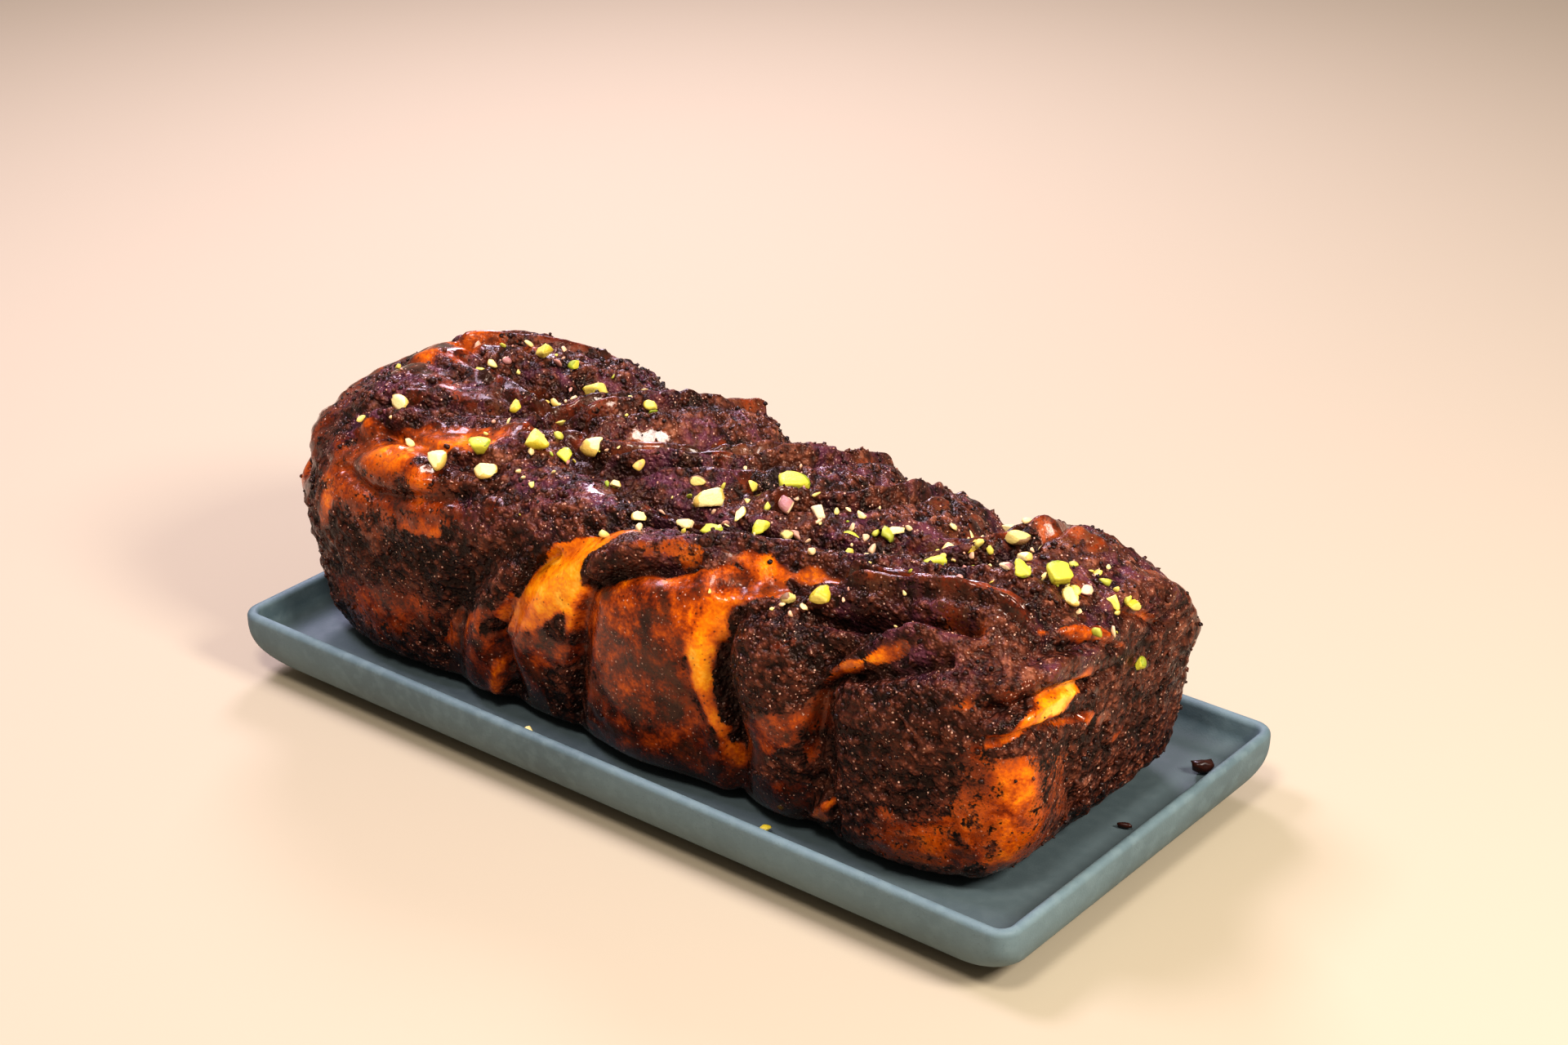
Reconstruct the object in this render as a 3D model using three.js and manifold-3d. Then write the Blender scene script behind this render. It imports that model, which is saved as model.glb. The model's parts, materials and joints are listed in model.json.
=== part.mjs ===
// A braided chocolate loaf on a rimmed stoneware tray, scattered with chopped pistachio.
// Millimetres, +Z up, +X along the loaf. The origin is under the middle of the tray.
import * as THREE from 'three';
import Module from 'manifold-3d';

const wasm = await Module();
wasm.setup();

// Loaf: one baked piece, wider than its foot and highest over its two ends.
const LOAF_LENGTH = 282;
const LOAF_WIDTH = 112;
const LOAF_OFFSET = -3.5;
const WIDEST_LEVEL = 56;
const CROWN_HEIGHT = 91;
const FOOT_TAPER = 0.03;
const SHOULDER_FRONT = 2.9;
const SHOULDER_BACK = 2.25;
const FOOT_ROUND = 9;
const END_ROUND = 9;
const MEAN_LIFT = 2.4;
const SEAT_GAP = 0.3;
const FOOT_BLEND = 8;

// Tray: a long, shallow, cast dish that leaves a margin round the loaf. Its wall curves in
// towards its base.
const END_MARGIN = 9;
const SIDE_MARGIN = 15.8;
const TRAY_LENGTH = LOAF_LENGTH + 2 * END_MARGIN;
const TRAY_WIDTH = LOAF_WIDTH + 2 * SIDE_MARGIN;
const TRAY_HEIGHT = 23.4;
const TRAY_FLOOR = 12;
const RIM_WIDTH = 3.6;
const WALL_FLARE = 15.2;
const WALL_CURVE = 3.1;
const FOOT_BEVEL = 1.2;
const RIM_CORNER = 7;
const FOOT_CORNER = 24;
const FLOOR_FILLET = 6;

// Crown rise above CROWN_HEIGHT at stations along the loaf, as shares of its half length.
const CROWN = [[-1, 4], [-0.8, 10], [-0.6, 8], [-0.4, 3], [-0.26, 4], [0, 0], [0.3, -3],
  [0.5, -3], [0.64, -1], [0.85, 4], [1, 1]];

// Strands and creases as [reach, rise, [[station, girth], ...]]. A station is a percentage of
// the half length from the middle of the loaf. A girth is a percentage of the way from the
// front foot up and over the top to the back foot.
const STRANDS = [
  [13, 4.0, [[-31, 11], [-22, 18], [-12, 23], [-1, 31]]],
  [23, 5.0, [[5, 3], [6, 14], [15, 23], [30, 31]]],
  [13, 4.5, [[4, 29], [19, 33], [35, 37], [50, 40]]],
  [14, 5.0, [[41, 19], [43, 25], [56, 32], [74, 38], [87, 40]]],
  [20, 4.0, [[71, 6], [70, 17], [79, 26], [92, 30]]],
  [16, 3.0, [[45, 4], [45, 12]]],
  [16, 4.5, [[-87, 18], [-74, 25], [-58, 31], [-43, 38]]],
  [18, 3.5, [[-73, 3], [-69, 15], [-51, 23], [-30, 28], [-9, 34]]],
  [11, 3.0, [[-43, 3], [-38, 12], [-30, 20]]],
  [11, 4.0, [[-86, 37], [-73, 40], [-58, 43], [-45, 48]]],
  [14, 5.0, [[-80, 47], [-73, 55], [-67, 62], [-63, 72]]],
  [13, 4.5, [[-43, 43], [-34, 51], [-28, 60], [-24, 70]]],
  [13, 4.5, [[-19, 42], [-5, 48], [5, 55], [12, 62], [17, 72]]],
  [12, 4.5, [[19, 48], [31, 54], [38, 62], [43, 71]]],
  [14, 5.0, [[57, 45], [71, 52], [82, 61], [83, 72]]],
  [10, 3.5, [[50, 38], [67, 42], [86, 45]]],
];
const CREASES = [
  [5, -5, [[-34, 1], [-32, 12], [-22, 22], [-11, 29], [2, 34]]],
  [4, -4, [[-14, 1], [-9, 14], [-4, 24], [9, 28], [21, 30]]],
  [6, -6, [[34, 0], [32, 10], [29, 18], [30, 25], [38, 31], [54, 36]]],
  [5, -5, [[56, 0], [56, 12], [55, 22], [64, 28], [79, 33]]],
  [5, -4, [[-53, 1], [-48, 10], [-41, 18], [-28, 24]]],
  [6, -4, [[-90, 29], [-73, 34], [-54, 38], [-43, 41]]],
  [7, -6, [[-61, 51], [-45, 48], [-27, 40], [-5, 38], [14, 38], [32, 43], [53, 44], [71, 47]]],
  [6, -6, [[-54, 51], [-50, 58], [-45, 69]]],
  [6, -6, [[-22, 47], [-12, 55], [-6, 62], [-4, 70]]],
  [5, -5, [[9, 47], [22, 54], [30, 62], [34, 70]]],
  [6, -6, [[45, 48], [54, 56], [60, 63], [63, 71]]],
];

// Chopped pistachio on the loaf as [station, girth, length, width, kind, turn in degrees].
const NUT_GAP = 0.3;
const NUT_DEPTH = 1.0;
const NUT_LIFT = 0.32;
const NUT_WOBBLE = 0.22;
const NUTS = [
  [-63, 56, 7, 6, 'yellow', 20], [-58, 58, 4.5, 3.5, 'green', 60], [-43, 54, 9, 7, 'yellow', 100],
  [-81, 35, 8, 5, 'cream', -20], [-48, 42, 6, 4.5, 'yellow', -40], [-27, 54, 5, 4.5, 'yellow', 10],
  [-37, 38, 8.5, 7, 'yellow', 30], [-62, 30, 10, 7, 'cream', 110], [-51, 34, 8.5, 7, 'green', 20],
  [-49, 31, 7.5, 6, 'cream', 0], [-31, 38, 6, 5, 'green', -30], [-27, 42, 7.5, 6, 'cream', 30],
  [-16, 38, 4, 3, 'cream', 0], [-13, 42, 4, 3, 'cream', 70], [6, 42, 9, 7.5, 'cream', 20],
  [0, 44, 5.5, 4, 'skin', 10], [19, 49, 11, 8.5, 'green', 40], [8, 49, 4, 3.5, 'yellow', 0],
  [-2, 34, 5, 4, 'cream', 30], [8, 36, 5.5, 4.5, 'cream', 0], [15, 37, 8, 5.5, 'green', 10],
  [15, 42, 7.5, 3.4, 'cream', 115], [20, 42, 7.5, 5, 'green', 60], [22, 46, 7, 5, 'mauve', -30],
  [26, 43, 5, 4, 'skin', 0], [28, 48, 6.5, 4.5, 'mauve', 0], [35, 51, 3.8, 3, 'cream', 0],
  [38, 47, 8, 4, 'green', -15], [43, 52, 5.5, 4, 'cream', 20], [61, 45, 7, 5.5, 'green', 30],
  [60, 48, 7.5, 3.8, 'cream', 100], [68, 38, 4.5, 3.5, 'cream', 0], [65, 50, 7, 5, 'yellow', 60],
  [71, 53, 8, 5.5, 'skin', 20], [72, 47, 6, 3, 'cream', -30], [77, 50, 5, 4, 'cream', 0],
  [66, 60, 7, 4, 'cream', 0], [72, 58, 4, 3, 'cream', 40], [90, 47, 12.5, 8, 'green', 95],
  [84, 44, 6.5, 5, 'green', -40], [80, 44, 5, 3.5, 'mauve', 0], [57, 33, 7, 6, 'yellow', 30],
  [53, 31, 5, 4.5, 'skin', 0], [-67, 52, 3.6, 2.8, 'mauve', 0], [-48, 49, 5, 3.6, 'cream', -20],
  [-57, 52, 3.8, 3, 'cream', 0], [96, 48, 4.5, 4, 'yellow', 0], [98, 50, 5, 3.5, 'mauve', 60],
  [97, 46, 7, 4, 'cream', -10],
];
// Pieces on the right end as [across, level, ...], percentages of the half width and of the
// rise or fall from the widest level.
const END_NUTS = [
  [8, 92, 5, 4, 'yellow', 0], [20, 84, 7.5, 3.8, 'yellow', 80], [20, 38, 4.4, 4, 'green', 0],
];
// Bits that fell on the tray floor as [x, y, length, width, kind, turn], x and y being
// percentages of the tray's half length and half width.
const FALLEN = [
  [-24.5, -79, 3.2, 2.6, 'cream', 0], [37, -79, 4, 3, 'yellow', 20],
  [91, 70, 8.5, 5.5, 'crumb', 30], [90.5, 14, 6, 2.4, 'crumb', 10],
];
const KINDS = {
  yellow: ['kernel_yellow', 0xd8b93f, 0.6],
  green: ['kernel_green', 0x9fb02e, 0.6],
  cream: ['kernel_cream', 0xe8d3a0, 0.6],
  mauve: ['skin_mauve', 0xc79c93, 0.65],
  skin: ['skin_brown', 0x8f7447, 0.7],
  crumb: ['cake_crumb', 0x35190f, 0.8],
};

const GIRTH_STEPS = 200;
const CELLS_LONG = 46;
const CELLS_WIDE = 18;
const CELLS_HIGH = 14;

const colour = (name, value, roughness, metalness = 0) => {
  const material = new THREE.MeshStandardMaterial({ color: value, roughness, metalness });
  material.name = name;
  return material;
};

// Value at x in a list of [x, value] points, easing from each one to the next.
function along(points, x) {
  const last = points.length - 1;
  if (x <= points[0][0]) return points[0][1];
  if (x >= points[last][0]) return points[last][1];
  const i = points.findIndex((p) => p[0] > x);
  const [x0, v0] = points[i - 1];
  const [x1, v1] = points[i];
  return v0 + (v1 - v0) * THREE.MathUtils.smoothstep(x, x0, x1);
}

// Joins corners that lie at one point and shares each vertex between its faces.
function weld(positions, faces) {
  const seen = new Map();
  const points = [];
  const index = positions.map((p) => {
    const key = p.map((v) => Math.round(v * 1e4)).join();
    if (!seen.has(key)) {
      seen.set(key, points.length);
      points.push(p);
    }
    return seen.get(key);
  });
  const kept = faces
    .map((face) => face.map((i) => index[i]))
    .filter(([a, b, c]) => a !== b && b !== c && c !== a);
  return { points, faces: kept };
}

function toGeometry({ points, faces }) {
  const geometry = new THREE.BufferGeometry();
  geometry.setAttribute('position', new THREE.Float32BufferAttribute(points.flat(), 3));
  geometry.setIndex(faces.flat());
  geometry.computeVertexNormals();
  return geometry;
}

function toSolid({ points, faces }) {
  const vertProperties = new Float32Array(points.flat());
  const triVerts = new Uint32Array(faces.flat());
  return new wasm.Manifold(new wasm.Mesh({ numProp: 3, vertProperties, triVerts }));
}

function fromSolid(solid) {
  const mesh = solid.getMesh();
  const geometry = new THREE.BufferGeometry();
  geometry.setAttribute('position', new THREE.BufferAttribute(mesh.vertProperties, 3));
  geometry.setIndex(new THREE.BufferAttribute(mesh.triVerts, 1));
  geometry.computeVertexNormals();
  return geometry;
}

// Plan outline of the tray: a rectangle with round corners, as [x, y] points.
function plan(inset, corner) {
  const halfLength = TRAY_LENGTH / 2 - inset;
  const halfWidth = TRAY_WIDTH / 2 - inset;
  const steps = 8;
  const outline = [];
  for (let quarter = 0; quarter < 4; quarter += 1) {
    const sideX = quarter === 0 || quarter === 3 ? 1 : -1;
    const sideY = quarter < 2 ? 1 : -1;
    for (let i = 0; i <= steps; i += 1) {
      const angle = (quarter + i / steps) * Math.PI / 2;
      outline.push([
        sideX * (halfLength - corner) + corner * Math.cos(angle),
        sideY * (halfWidth - corner) + corner * Math.sin(angle),
      ]);
    }
  }
  return outline;
}

// Rings of the tray from its foot up the outside, over the rim and down to the floor,
// each as [inset, corner radius, height].
function trayRings() {
  const rings = [[WALL_FLARE + FOOT_BEVEL, FOOT_CORNER, 0]];
  const shoulder = TRAY_HEIGHT - RIM_WIDTH / 2;
  for (const share of [0.04, 0.12, 0.25, 0.42, 0.65, 1]) {
    const fall = (1 - share) ** WALL_CURVE;
    rings.push([WALL_FLARE * fall, RIM_CORNER + (FOOT_CORNER - RIM_CORNER) * fall, shoulder * share]);
  }
  for (const turn of [30, 60, 90, 120, 150, 180]) {
    const angle = turn * Math.PI / 180;
    const inset = RIM_WIDTH / 2 * (1 - Math.cos(angle));
    rings.push([inset, RIM_CORNER - inset, shoulder + RIM_WIDTH / 2 * Math.sin(angle)]);
  }
  const fillet = Math.min(FLOOR_FILLET, 0.9 * (shoulder - TRAY_FLOOR));
  for (const turn of [0, 30, 60, 90]) {
    const angle = turn * Math.PI / 180;
    const inset = RIM_WIDTH + fillet * (1 - Math.cos(angle));
    const level = TRAY_FLOOR + fillet * (1 - Math.sin(angle));
    rings.push([inset, RIM_CORNER, level]);
  }
  return rings;
}

function trayShape() {
  const rings = trayRings();
  const positions = [];
  for (const [inset, corner, z] of rings) {
    for (const [x, y] of plan(inset, corner)) positions.push([x, y, z]);
  }
  const count = positions.length / rings.length;
  const faces = [];
  for (let r = 0; r + 1 < rings.length; r += 1) {
    for (let i = 0; i < count; i += 1) {
      const a = r * count + i;
      const b = r * count + (i + 1) % count;
      faces.push([a, b, b + count], [a, b + count, a + count]);
    }
  }
  const foot = positions.push([0, 0, 0]) - 1;
  const floor = positions.push([0, 0, TRAY_FLOOR]) - 1;
  const inner = (rings.length - 1) * count;
  for (let i = 0; i < count; i += 1) {
    const next = (i + 1) % count;
    faces.push([foot, next, i], [floor, inner + i, inner + next]);
  }
  return weld(positions, faces);
}

// A point of the unit box pushed out to the loaf's plain form. The cross-section is a
// superellipse, with squarer corners at the foot than at the shoulders.
function loafForm(boxX, boxY, boxZ) {
  const shoulder = boxY > 0 ? SHOULDER_BACK : SHOULDER_FRONT;
  const power = boxZ > 0 ? shoulder : FOOT_ROUND;
  const section = (Math.abs(boxY) ** power + Math.abs(boxZ) ** power) ** (1 / power);
  const norm = (Math.abs(boxX) ** END_ROUND + section ** END_ROUND) ** (1 / END_ROUND);
  const [u, v, w] = [boxX / norm, boxY / norm, boxZ / norm];
  const taper = 1 + FOOT_TAPER * Math.min(w, 0);
  const foot = TRAY_FLOOR + SEAT_GAP;
  const crown = CROWN_HEIGHT + along(CROWN, u);
  const z = WIDEST_LEVEL + (w > 0 ? crown - WIDEST_LEVEL : WIDEST_LEVEL - foot) * w;
  return new THREE.Vector3(
    LOAF_OFFSET + LOAF_LENGTH / 2 * u * taper,
    LOAF_WIDTH / 2 * v * taper,
    z,
  );
}

// Box positions once around the cross-section, from the front foot over the top to the
// back foot, with the girth reached at each one.
function girthTable() {
  const corners = [[-1, -1], [-1, 1], [1, 1], [1, -1]];
  const table = [];
  let girth = 0;
  let before = loafForm(0, -1, -1);
  for (let i = 0; i <= 3 * GIRTH_STEPS; i += 1) {
    const side = Math.min(Math.floor(i / GIRTH_STEPS), 2);
    const t = i / GIRTH_STEPS - side;
    const boxY = THREE.MathUtils.lerp(corners[side][0], corners[side + 1][0], t);
    const boxZ = THREE.MathUtils.lerp(corners[side][1], corners[side + 1][1], t);
    const point = loafForm(0, boxY, boxZ);
    girth += point.distanceTo(before);
    before = point;
    table.push([girth, boxY, boxZ]);
  }
  return table;
}

const GIRTHS = girthTable();

function boxAtGirth(percent) {
  const whole = GIRTHS[GIRTHS.length - 1][0];
  const found = GIRTHS.find((row) => row[0] >= whole * percent / 100);
  return (found ?? GIRTHS[GIRTHS.length - 1]).slice(1);
}

// The point of the plain form at a station along the loaf and a girth around it.
function onLoaf(station, girth) {
  return loafForm(station / 100, ...boxAtGirth(girth));
}

const relief = [...STRANDS, ...CREASES].map(([reach, rise, route]) => {
  const points = route.map(([station, girth]) => onLoaf(station, girth));
  const lines = points.slice(1).map((point, i) => new THREE.Line3(points[i], point));
  return { reach, rise, lines };
});

// How far strands lift and creases sink the skin at a point of the plain form.
function reliefAt(point) {
  const nearest = new THREE.Vector3();
  let lift = 0;
  for (const { reach, rise, lines } of relief) {
    let gap = Infinity;
    for (const line of lines) {
      line.closestPointToPoint(point, true, nearest);
      gap = Math.min(gap, nearest.distanceTo(point));
    }
    lift += rise * Math.exp(-((gap / reach) ** 2));
  }
  return lift;
}

// The six sides of the unit box as grids of points, and their triangles.
function boxGrid() {
  const sides = [
    [[0, 1, 2], [CELLS_LONG, CELLS_WIDE], 1], [[0, 1, 2], [CELLS_LONG, CELLS_WIDE], -1],
    [[2, 0, 1], [CELLS_HIGH, CELLS_LONG], 1], [[2, 0, 1], [CELLS_HIGH, CELLS_LONG], -1],
    [[1, 2, 0], [CELLS_WIDE, CELLS_HIGH], 1], [[1, 2, 0], [CELLS_WIDE, CELLS_HIGH], -1],
  ];
  const positions = [];
  const faces = [];
  for (const [[a, b, c], [across, up], end] of sides) {
    const first = positions.length;
    for (let j = 0; j <= up; j += 1) {
      for (let i = 0; i <= across; i += 1) {
        const p = [0, 0, 0];
        p[a] = -1 + 2 * i / across;
        p[b] = -1 + 2 * j / up;
        p[c] = end;
        positions.push(p);
      }
    }
    for (let j = 0; j < up; j += 1) {
      for (let i = 0; i < across; i += 1) {
        const k = first + j * (across + 1) + i;
        const m = k + across + 1;
        if (end > 0) faces.push([k, k + 1, m + 1], [k, m + 1, m]);
        else faces.push([k, m + 1, k + 1], [k, m, m + 1]);
      }
    }
  }
  return weld(positions, faces);
}

// The baked skin: the plain form with its strands and creases, and 'grow' more all round.
function loafShape(grow) {
  const grid = boxGrid();
  const plain = grid.points.map((p) => loafForm(...p));
  const geometry = toGeometry({ points: plain.map((p) => p.toArray()), faces: grid.faces });
  const normals = geometry.getAttribute('normal');
  const foot = TRAY_FLOOR + SEAT_GAP;
  const points = plain.map((point, i) => {
    const normal = new THREE.Vector3().fromBufferAttribute(normals, i);
    const share = THREE.MathUtils.smoothstep(point.z, foot, foot + FOOT_BLEND);
    const lift = (reliefAt(point) - MEAN_LIFT) * share + grow;
    const moved = point.clone().addScaledVector(normal, lift);
    return [moved.x, moved.y, Math.max(moved.z, foot - grow)];
  });
  return { points, faces: grid.faces };
}

// A chopped chunk: a solid of twenty uneven facets about the origin.
function chunkShape(length, width, seed) {
  const ball = new THREE.IcosahedronGeometry(0.5, 0).getAttribute('position');
  const positions = [];
  for (let i = 0; i < ball.count; i += 1) positions.push([ball.getX(i), ball.getY(i), ball.getZ(i)]);
  const faces = positions.map((p, i) => i).filter((i) => i % 3 === 0).map((i) => [i, i + 1, i + 2]);
  const shape = weld(positions, faces);
  const points = shape.points.map(([x, y, z], i) => {
    const wobble = 1 + NUT_WOBBLE * Math.sin(seed * 12.9 + i * 4.7);
    return [x * length * wobble, y * width * wobble, z * width * NUT_DEPTH * wobble];
  });
  return { points, faces: shape.faces };
}

// Turns a chunk flat to a seat: 'normal' leaves the skin there, 'turn' spins it about that.
function placeChunk(shape, seat, normal, turn) {
  const stand = new THREE.Quaternion().setFromUnitVectors(new THREE.Vector3(0, 0, 1), normal);
  const spin = new THREE.Quaternion().setFromAxisAngle(normal, turn * Math.PI / 180);
  const points = shape.points.map((p) => (
    new THREE.Vector3(...p).applyQuaternion(stand).applyQuaternion(spin).add(seat).toArray()
  ));
  return { points, faces: shape.faces };
}

// Where a line from outside, aimed at a point of the plain form, first meets the skin.
function seatOnSkin(skin, target, outward) {
  const start = target.clone().addScaledVector(outward, 30);
  const ray = new THREE.Raycaster(start, outward.clone().negate());
  const [hit] = ray.intersectObject(skin);
  return { point: hit.point, normal: hit.face.normal.clone().lerp(outward, 0.5).normalize() };
}

function outwardAt(target) {
  const heart = new THREE.Vector3(target.x * 0.8, target.y * 0.25, WIDEST_LEVEL * 0.6);
  return target.clone().sub(heart).normalize();
}

const object = new THREE.Group();

function addPiece(name, geometry, kind) {
  const piece = new THREE.Mesh(geometry, colour(...kind));
  piece.name = name;
  object.add(piece);
  return piece;
}

addPiece('serving_tray', toGeometry(trayShape()), ['stoneware', 0x6f7f83, 0.75]);
const loaf = addPiece('loaf', toGeometry(loafShape(0)), ['crust', 0x5a2f1a, 0.45]);
const bed = toSolid(loafShape(SEAT_GAP));

const number = (i) => String(i + 1).padStart(2, '0');
const targets = [
  ...NUTS.map(([station, girth, ...rest]) => [onLoaf(station, girth), ...rest]),
  ...END_NUTS.map(([across, level, ...rest]) => [loafForm(1, across / 100, level / 100), ...rest]),
];
const laid = [];
targets.forEach(([target, length, width, kind, turn], i) => {
  const { point, normal } = seatOnSkin(loaf, target, outwardAt(target));
  const seat = point.clone().addScaledVector(normal, width * NUT_DEPTH * NUT_LIFT);
  const shape = placeChunk(chunkShape(length, width, i), seat, normal, turn);
  const room = 2.6 * NUT_GAP;
  const wide = chunkShape(length + room, width + room, i);
  let chunk = toSolid(shape).subtract(bed);
  for (const other of laid) {
    if (other.seat.distanceTo(seat) < (other.length + length) * 0.7) chunk = chunk.subtract(other.solid);
  }
  laid.push({ seat, length, solid: toSolid(placeChunk(wide, seat, normal, turn)) });
  addPiece(`pistachio_${number(i)}`, fromSolid(chunk), KINDS[kind]);
});

// Fallen bits sit on the tray floor with flat undersides.
FALLEN.forEach(([x, y, length, width, kind, turn], i) => {
  const floor = TRAY_FLOOR + SEAT_GAP;
  const level = floor + width * NUT_DEPTH * NUT_LIFT;
  const seat = new THREE.Vector3(TRAY_LENGTH / 200 * x, TRAY_WIDTH / 200 * y, level);
  const up = new THREE.Vector3(0, 0, 1);
  const shape = placeChunk(chunkShape(length, width, i + 0.5), seat, up, turn);
  const points = shape.points.map((p) => [p[0], p[1], Math.max(p[2], floor)]);
  addPiece(`fallen_${kind}_${number(i)}`, toGeometry({ points, faces: shape.faces }), KINDS[kind]);
});

export default object;
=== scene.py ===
# %% [markdown]
# # A braided loaf on its tray
# A rich dough is rolled flat, spread with dark chocolate filling, rolled up, cut lengthwise
# and twisted, so cut layers of filling and bands of plain dough take turns on the outside.
# It bakes in a tin, which squares its sides, and comes out glazed and scattered with chopped
# pistachio. The frame holds the plain solids. This file gives each of them its real surface.

# %% Load the frame
import json
import math

import bmesh
import bpy
import numpy as np
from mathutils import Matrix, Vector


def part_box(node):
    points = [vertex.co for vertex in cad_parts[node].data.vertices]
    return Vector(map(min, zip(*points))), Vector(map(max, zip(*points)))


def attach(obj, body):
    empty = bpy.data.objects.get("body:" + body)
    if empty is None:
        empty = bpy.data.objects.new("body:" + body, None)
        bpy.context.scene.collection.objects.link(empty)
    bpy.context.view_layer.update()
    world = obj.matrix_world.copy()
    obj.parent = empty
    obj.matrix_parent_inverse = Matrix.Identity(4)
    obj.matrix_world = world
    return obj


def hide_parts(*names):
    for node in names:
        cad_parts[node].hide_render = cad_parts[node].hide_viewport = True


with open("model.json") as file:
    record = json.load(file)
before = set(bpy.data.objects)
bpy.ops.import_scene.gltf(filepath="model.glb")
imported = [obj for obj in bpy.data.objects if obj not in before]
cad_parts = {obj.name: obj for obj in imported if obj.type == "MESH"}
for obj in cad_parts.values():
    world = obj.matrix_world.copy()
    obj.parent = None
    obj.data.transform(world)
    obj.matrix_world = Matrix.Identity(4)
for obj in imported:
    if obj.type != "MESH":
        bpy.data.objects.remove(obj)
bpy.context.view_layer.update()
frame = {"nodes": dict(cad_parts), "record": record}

# %% [markdown]
# ## Sizes
# The frame is in metres, and baking is easier to think about in millimetres, so the shape
# functions work in millimetres and one constant turns them into metres at the end.

# %% Sizes
MM = 0.001
tray_low, tray_high = (np.array(v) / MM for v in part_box("serving_tray"))
loaf_low, loaf_high = (np.array(v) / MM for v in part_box("loaf"))
TRAY_FLOOR = 12.0
FOOT = loaf_low[2]
LOAF_LENGTH = 282.0
LOAF_WIDTH = 112.0
LOAF_OFFSET = -3.5
WIDEST_LEVEL = 56.0
CROWN_HEIGHT = 91.0
FOOT_TAPER = 0.03
SHOULDER_FRONT = 2.9
SHOULDER_BACK = 2.25
FOOT_ROUND = 9.0
END_ROUND = 9.0
MEAN_LIFT = 2.4
CROWN = np.array([[-1, 4], [-0.8, 10], [-0.6, 8], [-0.4, 3], [-0.26, 4], [0, 0], [0.3, -3],
                  [0.5, -3], [0.64, -1], [0.85, 4], [1, 1]])
print("tray", np.round(tray_high - tray_low, 1), "loaf", np.round(loaf_high - loaf_low, 1))

# %% [markdown]
# ## Small tools
# A surface here is an array of points and an array of faces. `make_piece` turns both into an
# object at the origin and lets it ride on the one body that the object has.

# %% Mesh helper
def make_piece(name, points, faces, smooth=True):
    """Points in millimetres and faces become one object in metres, riding on the root body."""
    mesh = bpy.data.meshes.new(name)
    mesh.from_pydata((np.asarray(points) * MM).tolist(), [], faces)
    mesh.polygons.foreach_set("use_smooth", [smooth] * len(mesh.polygons))
    mesh.update()
    piece = bpy.data.objects.new(name, mesh)
    bpy.context.scene.collection.objects.link(piece)
    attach(piece, "root")
    print(name, len(points), "points", len(mesh.polygons), "faces")
    return piece


def paint(piece, **layers):
    """Stores one number per point for each named layer, for a material to read."""
    for name, values in layers.items():
        layer = piece.data.attributes.new(name, "FLOAT", "POINT")
        layer.data.foreach_set("value", np.asarray(values, np.float32))


def ease(low, high, x):
    """0 below low, 1 above high, and 3t^2 - 2t^3 between them. Works both ways round."""
    t = np.clip((x - low) / (high - low), 0, 1)
    return t * t * (3 - 2 * t)


def blend(a, b, share):
    """a where share is 0, b where it is 1."""
    return a + (b - a) * share

# %% Solid noise
def lattice_value(cell, seed):
    """A fixed number from 0 to 1 for each whole-numbered cell, mixed from its three indices."""
    mixed = cell[:, 0] * 374761393 + cell[:, 1] * 668265263 + cell[:, 2] * 2147483647 + seed * 974711
    mixed = (mixed ^ (mixed >> 13)) * 1274126177 & 0x7FFFFFFF
    return ((mixed ^ (mixed >> 16)) & 0xFFFF) / 65535.0


def lumps(points, size, seed):
    """Smooth noise from -1 to 1 with lumps of about the given size: the eight corner values
    of the cell that holds a point, weighted by the eased place of the point in the cell."""
    place = np.asarray(points) / size
    corner = np.floor(place).astype(np.int64)
    t = place - corner
    t = t * t * (3 - 2 * t)
    total = np.zeros(len(place))
    for step in np.ndindex(2, 2, 2):
        weight = np.prod(np.where(np.array(step), t, 1 - t), axis=1)
        total += weight * lattice_value(corner + np.array(step), seed)
    return 2 * total - 1


rng = np.random.default_rng(7)
print("noise test", np.round(lumps(np.array([[1.0, 2.0, 3.0], [9.0, 4.0, 7.0]]), 3.0, 1), 3))

# %% [markdown]
# ## The plain form of the loaf
# The tin gives the loaf a square foot and the oven gives it round shoulders. Both come from
# one idea: take a point of a box and divide it by a norm with a high power. A power near 2
# gives a round corner and a power near 10 gives a square one.

# %% Plain form
def eased_steps(table, x):
    """Value at x in a table of (x, value) rows, easing from each row to the next."""
    row = np.clip(np.searchsorted(table[:, 0], x, side="right"), 1, len(table) - 1)
    x0, v0 = table[row - 1].T
    x1, v1 = table[row].T
    return blend(v0, v1, ease(0, 1, (x - x0) / (x1 - x0)))


def loaf_form(box_x, box_y, box_z):
    """Box point to form: section = (|y|^p + |z|^p)^(1/p), norm = (|x|^e + section^e)^(1/e),
    then the box point over its norm, scaled, and drawn in a little towards the foot."""
    box_x, box_y, box_z = np.broadcast_arrays(box_x, box_y, box_z)
    shoulder = np.where(box_y > 0, SHOULDER_BACK, SHOULDER_FRONT)
    power = np.where(box_z > 0, shoulder, FOOT_ROUND)
    section = (np.abs(box_y) ** power + np.abs(box_z) ** power) ** (1 / power)
    norm = (np.abs(box_x) ** END_ROUND + section ** END_ROUND) ** (1 / END_ROUND)
    u, v, w = box_x / norm, box_y / norm, box_z / norm
    taper = 1 + FOOT_TAPER * np.minimum(w, 0)
    crown = CROWN_HEIGHT + eased_steps(CROWN, u)
    rise = np.where(w > 0, crown - WIDEST_LEVEL, WIDEST_LEVEL - FOOT)
    return np.stack([LOAF_OFFSET + LOAF_LENGTH / 2 * u * taper,
                     LOAF_WIDTH / 2 * v * taper,
                     WIDEST_LEVEL + rise * w], axis=-1)


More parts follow.
